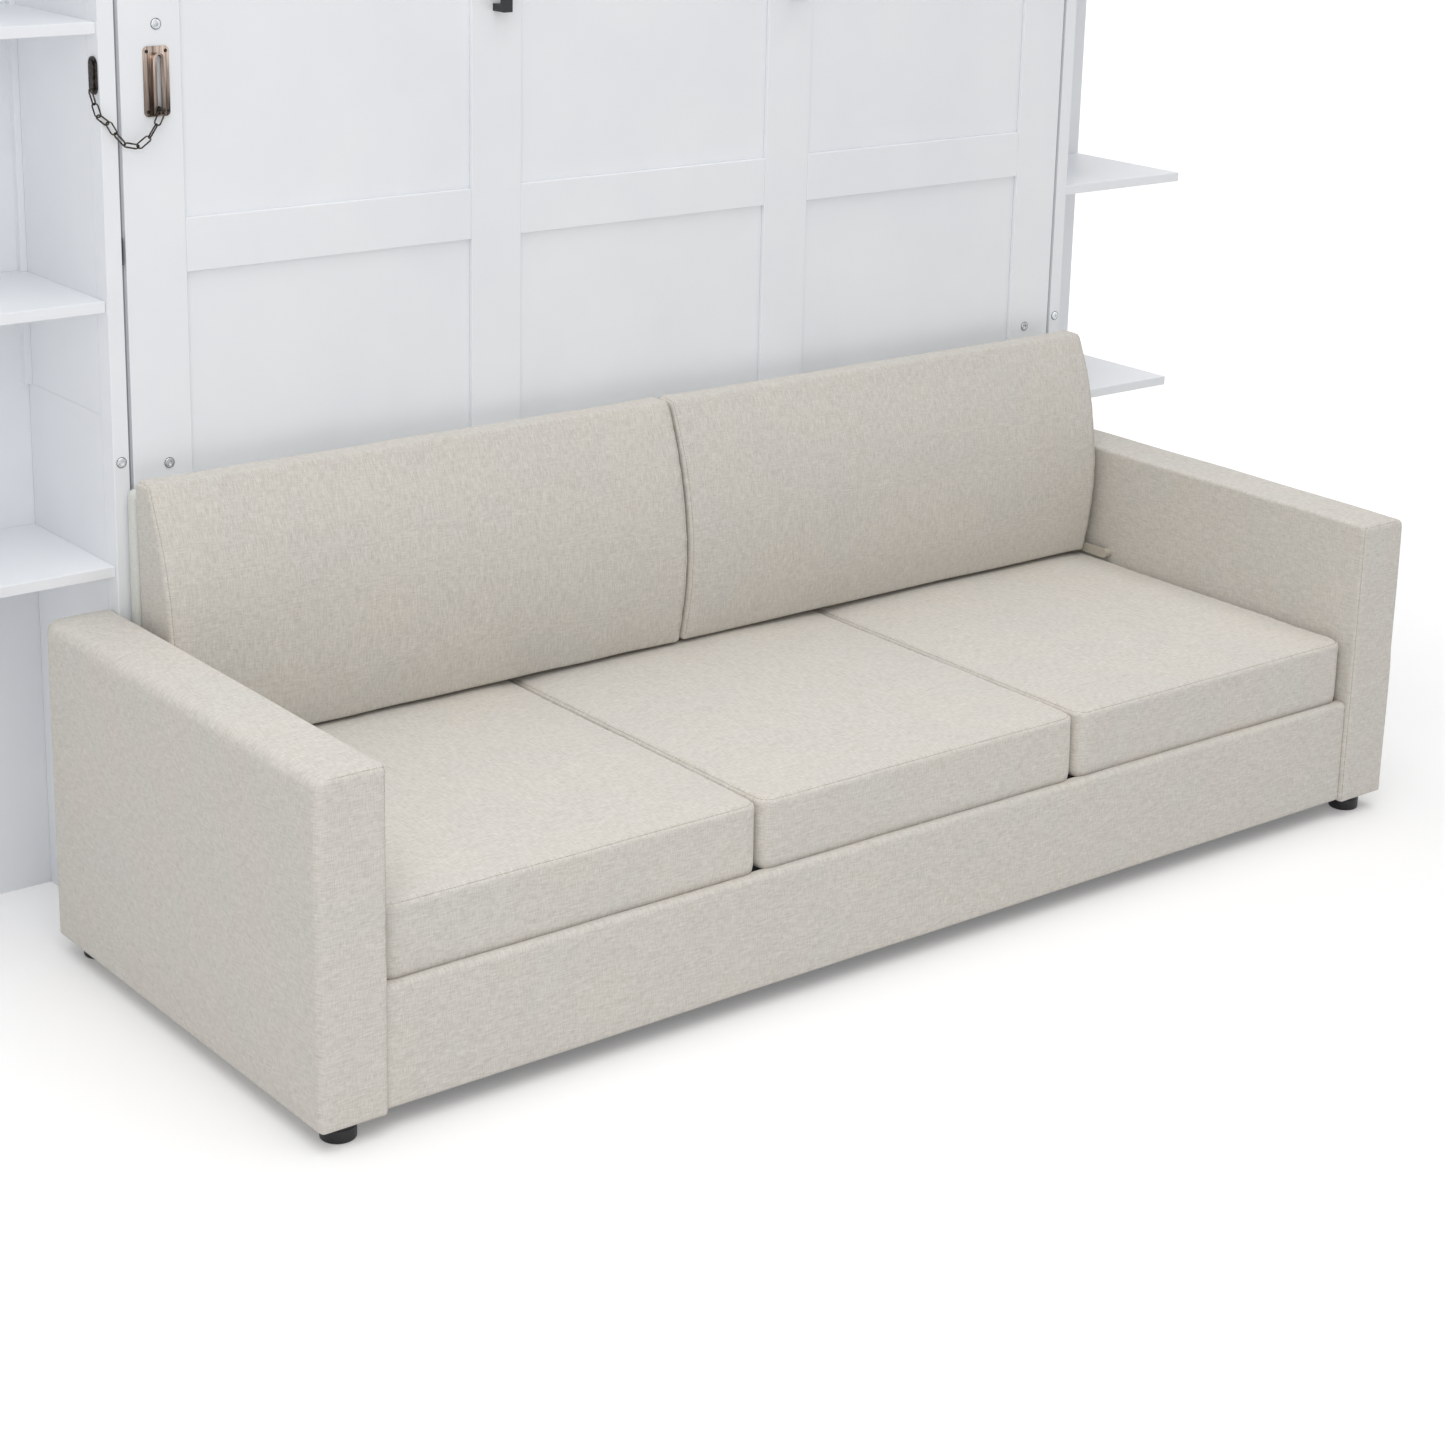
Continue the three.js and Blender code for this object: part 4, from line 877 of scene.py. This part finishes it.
def makeBolt(name, x, z, front, body):  # a flat-headed connector bolt with a hexagon socket, ringed by a painted shadow: a thin dark cord
    sides, head = bolt["sides"], bolt["head"]
    rings = [(bolt["radius"], 0, False), (bolt["radius"], head - bolt["edge"], False),
             (bolt["radius"] - bolt["edge"], head, False), (bolt["socket"], head, True),
             (bolt["socket"] * bolt["taper"], head - bolt["socketDepth"], True)]
    points = []
    for radius, out, hexagon in rings:
        for side in range(sides):
            angle = 2 * math.pi * side / sides
            reach = radius
            if hexagon:
                reach = radius / math.cos((angle + math.pi / 6) % (math.pi / 3) - math.pi / 6)
            points.append((x + reach * math.cos(angle), front - out, z + reach * math.sin(angle)))
    faces = ringQuads(len(rings), sides)
    faces.append(tuple((len(rings) - 1) * sides + side for side in range(sides)))
    faces.append(tuple(range(sides))[::-1])
    piece = meshPiece(name, points, faces, finishes["zinc_steel"])
    splitEdges(piece, 35)
    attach(piece, body)
    # painted shadow: a thin ring of black metal round the head stands in for the shade at its edge
    reach = bolt["radius"] + bolt["shadowRing"] / 2
    ring = [(x + reach * math.cos(angle), front - bolt["shadowRingOut"], z + reach * math.sin(angle))
            for angle in np.linspace(0, 2 * math.pi, sides, endpoint=False)]
    shadowRing = tube(name + "_shadow_ring", ring, bolt["shadowRing"], finishes["black_metal"], True)
    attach(shadowRing, body)


# the guard chain gets a link joining it to its anchor, and small screws hold its track
chain = {"wire": 1.3 * mm, "width": 8 * mm, "lean": 35, "overlap": 2.2 * mm, "straight": 0.05 * mm,
         "endSlab": 4 * mm, "hungX": -1022 * mm, "knobX": -946 * mm}
screw = {"radius": 3.4 * mm, "dome": 1.3 * mm, "sunk": 0.2 * mm, "turn": math.pi / 2.3, "sides": 24,
         "behind": 1.6 * mm, "places": ((0.13, 0.07), (0.87, 0.07), (0.13, 0.93), (0.87, 0.93))}


def endOf(node, axis):  # the middle of a node's lowest slice along an axis
    held = nodes[node]
    points = np.array([held.matrix_world @ vertex.co for vertex in held.data.vertices])
    return Vector(points[points[:, axis] < points[:, axis].min() + chain["endSlab"]].mean(0))


def makeChain():
    held = nodes["guard_chain"]
    links = bpy.data.objects.new("guard_chain_links", held.data.copy())
    links.matrix_world = held.matrix_world
    bpy.context.scene.collection.objects.link(links)
    last = endOf("guard_chain", 0)
    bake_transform(links)
    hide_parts("guard_chain")
    first = endOf("chain_anchor", 2)
    along = (last - first).normalized()
    lean = Matrix.Rotation(math.radians(chain["lean"]), 3, along)
    side = lean @ along.cross(Vector((0, -1, 0))).normalized()
    reach, half = (last - first).length + chain["overlap"], chain["width"] / 2
    ring = roundedOutline(-chain["overlap"], reach, -half, half, half - chain["straight"])
    joining = tube("guard_chain_joining_link", [tuple(first + along * a + side * b) for a, b in ring],
                   chain["wire"], finishes["dark_bronze"], True)
    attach(joining, "frame")


def makeScrew(name, centre):  # a domed head that faces forward
    profile = [(screw["radius"], -screw["sunk"])]
    profile += [(screw["radius"] * math.cos(angle), screw["dome"] * math.sin(angle))
                for angle in np.linspace(0, screw["turn"], 6)]
    piece = turned(name, profile, finishes["dark_bronze"], (0, 0, 0), sides=screw["sides"])
    piece.data.transform(Matrix.Translation(centre) @ Matrix.Rotation(math.pi / 2, 4, "X"))
    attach(piece, "bed")


makeChain()
trackLow, trackHigh = corners("chain_track")
for index, (shareX, shareZ) in enumerate(screw["places"]):
    spot = (trackLow[0] + shareX * (trackHigh[0] - trackLow[0]), trackHigh[1] - screw["behind"],
            trackLow[2] + shareZ * (trackHigh[2] - trackLow[2]))
    makeScrew(f"track_screw_{index + 1}", spot)

# the white board shows through the slot, so a pale strip lines the channel behind the slider's head
liner = {"wide": 15 * mm, "tall": 88 * mm, "thick": 0.6 * mm, "plate": 2.2 * mm, "up": 5 * mm,
         "corner": 6.5 * mm, "rim": 0.15 * mm, "spacing": 8 * mm}
linerMiddle = (trackLow[0] + trackHigh[0]) / 2
linerLow = np.array((linerMiddle - liner["wide"] / 2, trackHigh[1] - liner["plate"] - liner["thick"],
                     trackLow[2] + liner["up"]))
linerHigh = linerLow + (liner["wide"], liner["thick"], liner["tall"])
points, faces = gridBox(linerLow, linerHigh, liner["corner"], liner["spacing"])
points = roundSlab(points, linerLow, linerHigh, 1, liner["corner"], liner["rim"])
trackLiner = meshPiece("chain_track_liner", points, faces, finishes["white_lacquered_board"])
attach(trackLiner, "bed")
print("chain hung")


# bolts in the front boards' outer stiles and in the cabinet's sides, at the heights seen in the photograph
stileLow, _ = corners("face_stile_left")
sideLow, sideHigh = corners("cabinet_side_left")
boltPlaces = {"stileIn": 62 * mm, "levels": (798 * mm, 1486 * mm), "sideLevel": 810 * mm}
for side, sign in (("left", -1), ("right", 1)):
    stileX = sign * (-stileLow[0] - boltPlaces["stileIn"])
    for index, level in enumerate(boltPlaces["levels"]):
        makeBolt(f"bolt_stile_{side}_{index + 1}", stileX, level, stileLow[1], "bed")
    sideX = sign * -(sideLow[0] + sideHigh[0]) / 2
    makeBolt(f"bolt_side_{side}", sideX, boltPlaces["sideLevel"], sideLow[1], "frame")

# a small dark catch on the cabinet's side, seen in the gap left of the front boards
catch = {"level": 1142 * mm, "tall": 42 * mm, "deep": 20 * mm, "thick": 3 * mm, "behind": 2 * mm,
         "clear": 0.3 * mm, "corner": 2 * mm, "rim": 0.6 * mm, "spacing": 10 * mm}
catchLow = np.array((sideHigh[0] + catch["clear"], sideLow[1] + catch["behind"],
                     catch["level"] - catch["tall"] / 2))
catchHigh = catchLow + (catch["thick"], catch["deep"], catch["tall"])
points, faces = gridBox(catchLow, catchHigh, catch["corner"], catch["spacing"])
points = roundSlab(points, catchLow, catchHigh, 0, catch["corner"], catch["rim"])
gapCatch = meshPiece("gap_catch_left", points, faces, finishes["black_metal"])
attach(gapCatch, "frame")
print("feet, bolts and catch made")


# the studio has a pale floor, a white surround and soft lamps
floorSpec = {"side": 60, "colour": "#EDEDED", "near": 1.6, "far": 4.0, "lift": 0.16, "farLift": 0.45}
surround = {"light": 0.42, "seen": 1.0}
sun = {"from": (-0.05, -0.12, 0.99), "level": 0.46, "spread": 60}
lamp = {"place": (-2.6, -3.0, 3.1), "aim": (0, 0.2, 1.0), "side": 3.0, "watts": 46}


def seenRays(tree):  # 1 for rays that show the background: straight, mirrored and through glass
    path = addNode(tree, "ShaderNodeLightPath")
    seen = path.outputs["Is Camera Ray"]
    for name in ("Is Glossy Ray", "Is Transmission Ray"):
        both = addNode(tree, "ShaderNodeMath", {"operation": "MAXIMUM"}, i0=seen, i1=path.outputs[name])
        seen = both.outputs[0]
    return seen


def makeFloor():
    half = floorSpec["side"] / 2
    material, tree = startMaterial("studioFloor")
    paint = addNode(tree, "ShaderNodeBsdfDiffuse", Color=linear(floorSpec["colour"]))
    place = addNode(tree, "ShaderNodeTexCoord").outputs["Object"]
    away = addNode(tree, "ShaderNodeVectorMath", {"operation": "LENGTH"}, i0=place).outputs["Value"]
    lift = spread(tree, away, floorSpec["near"], floorSpec["far"], floorSpec["lift"], floorSpec["farLift"])
    glow = addNode(tree, "ShaderNodeEmission", Color=linear("#FFFFFF"), Strength=lift)
    both = addNode(tree, "ShaderNodeAddShader", i0=paint.outputs[0], i1=glow.outputs[0])
    shown = addNode(tree, "ShaderNodeMixShader", Fac=seenRays(tree), i1=paint.outputs[0], i2=both.outputs[0])
    addNode(tree, "ShaderNodeOutputMaterial", Surface=shown.outputs[0])
    corner = [(-half, -half, 0), (half, -half, 0), (half, half, 0), (-half, half, 0)]
    meshPiece("studio_floor", corner, [(0, 1, 2, 3)], material)


def makeSurround():
    world = bpy.data.worlds.new("surround")
    bpy.context.scene.world = world
    world.use_nodes = True
    tree = world.node_tree
    tree.nodes.clear()
    strength = spread(tree, seenRays(tree), 0, 1, surround["light"], surround["seen"])
    light = addNode(tree, "ShaderNodeBackground", Color=linear("#FFFFFF"), Strength=strength)
    addNode(tree, "ShaderNodeOutputWorld", Surface=light.outputs[0])


def addLight(name, kind, place, towards, **settings):
    data = bpy.data.lights.new(name, kind)
    for setting, value in settings.items():
        setattr(data, setting, value)
    light = bpy.data.objects.new(name, data)
    light.location = place
    light.rotation_euler = (Vector(towards) - Vector(place)).to_track_quat("-Z", "Y").to_euler()
    bpy.context.scene.collection.objects.link(light)


makeFloor()
makeSurround()
addLight("sun_top", "SUN", sun["from"], (0, 0, 0), energy=sun["level"] * math.pi,
         angle=math.radians(sun["spread"]))
addLight("lamp_front", "AREA", lamp["place"], lamp["aim"], size=lamp["side"], energy=lamp["watts"])
bpy.context.scene.view_settings.view_transform = "Standard"
print("studio lit")
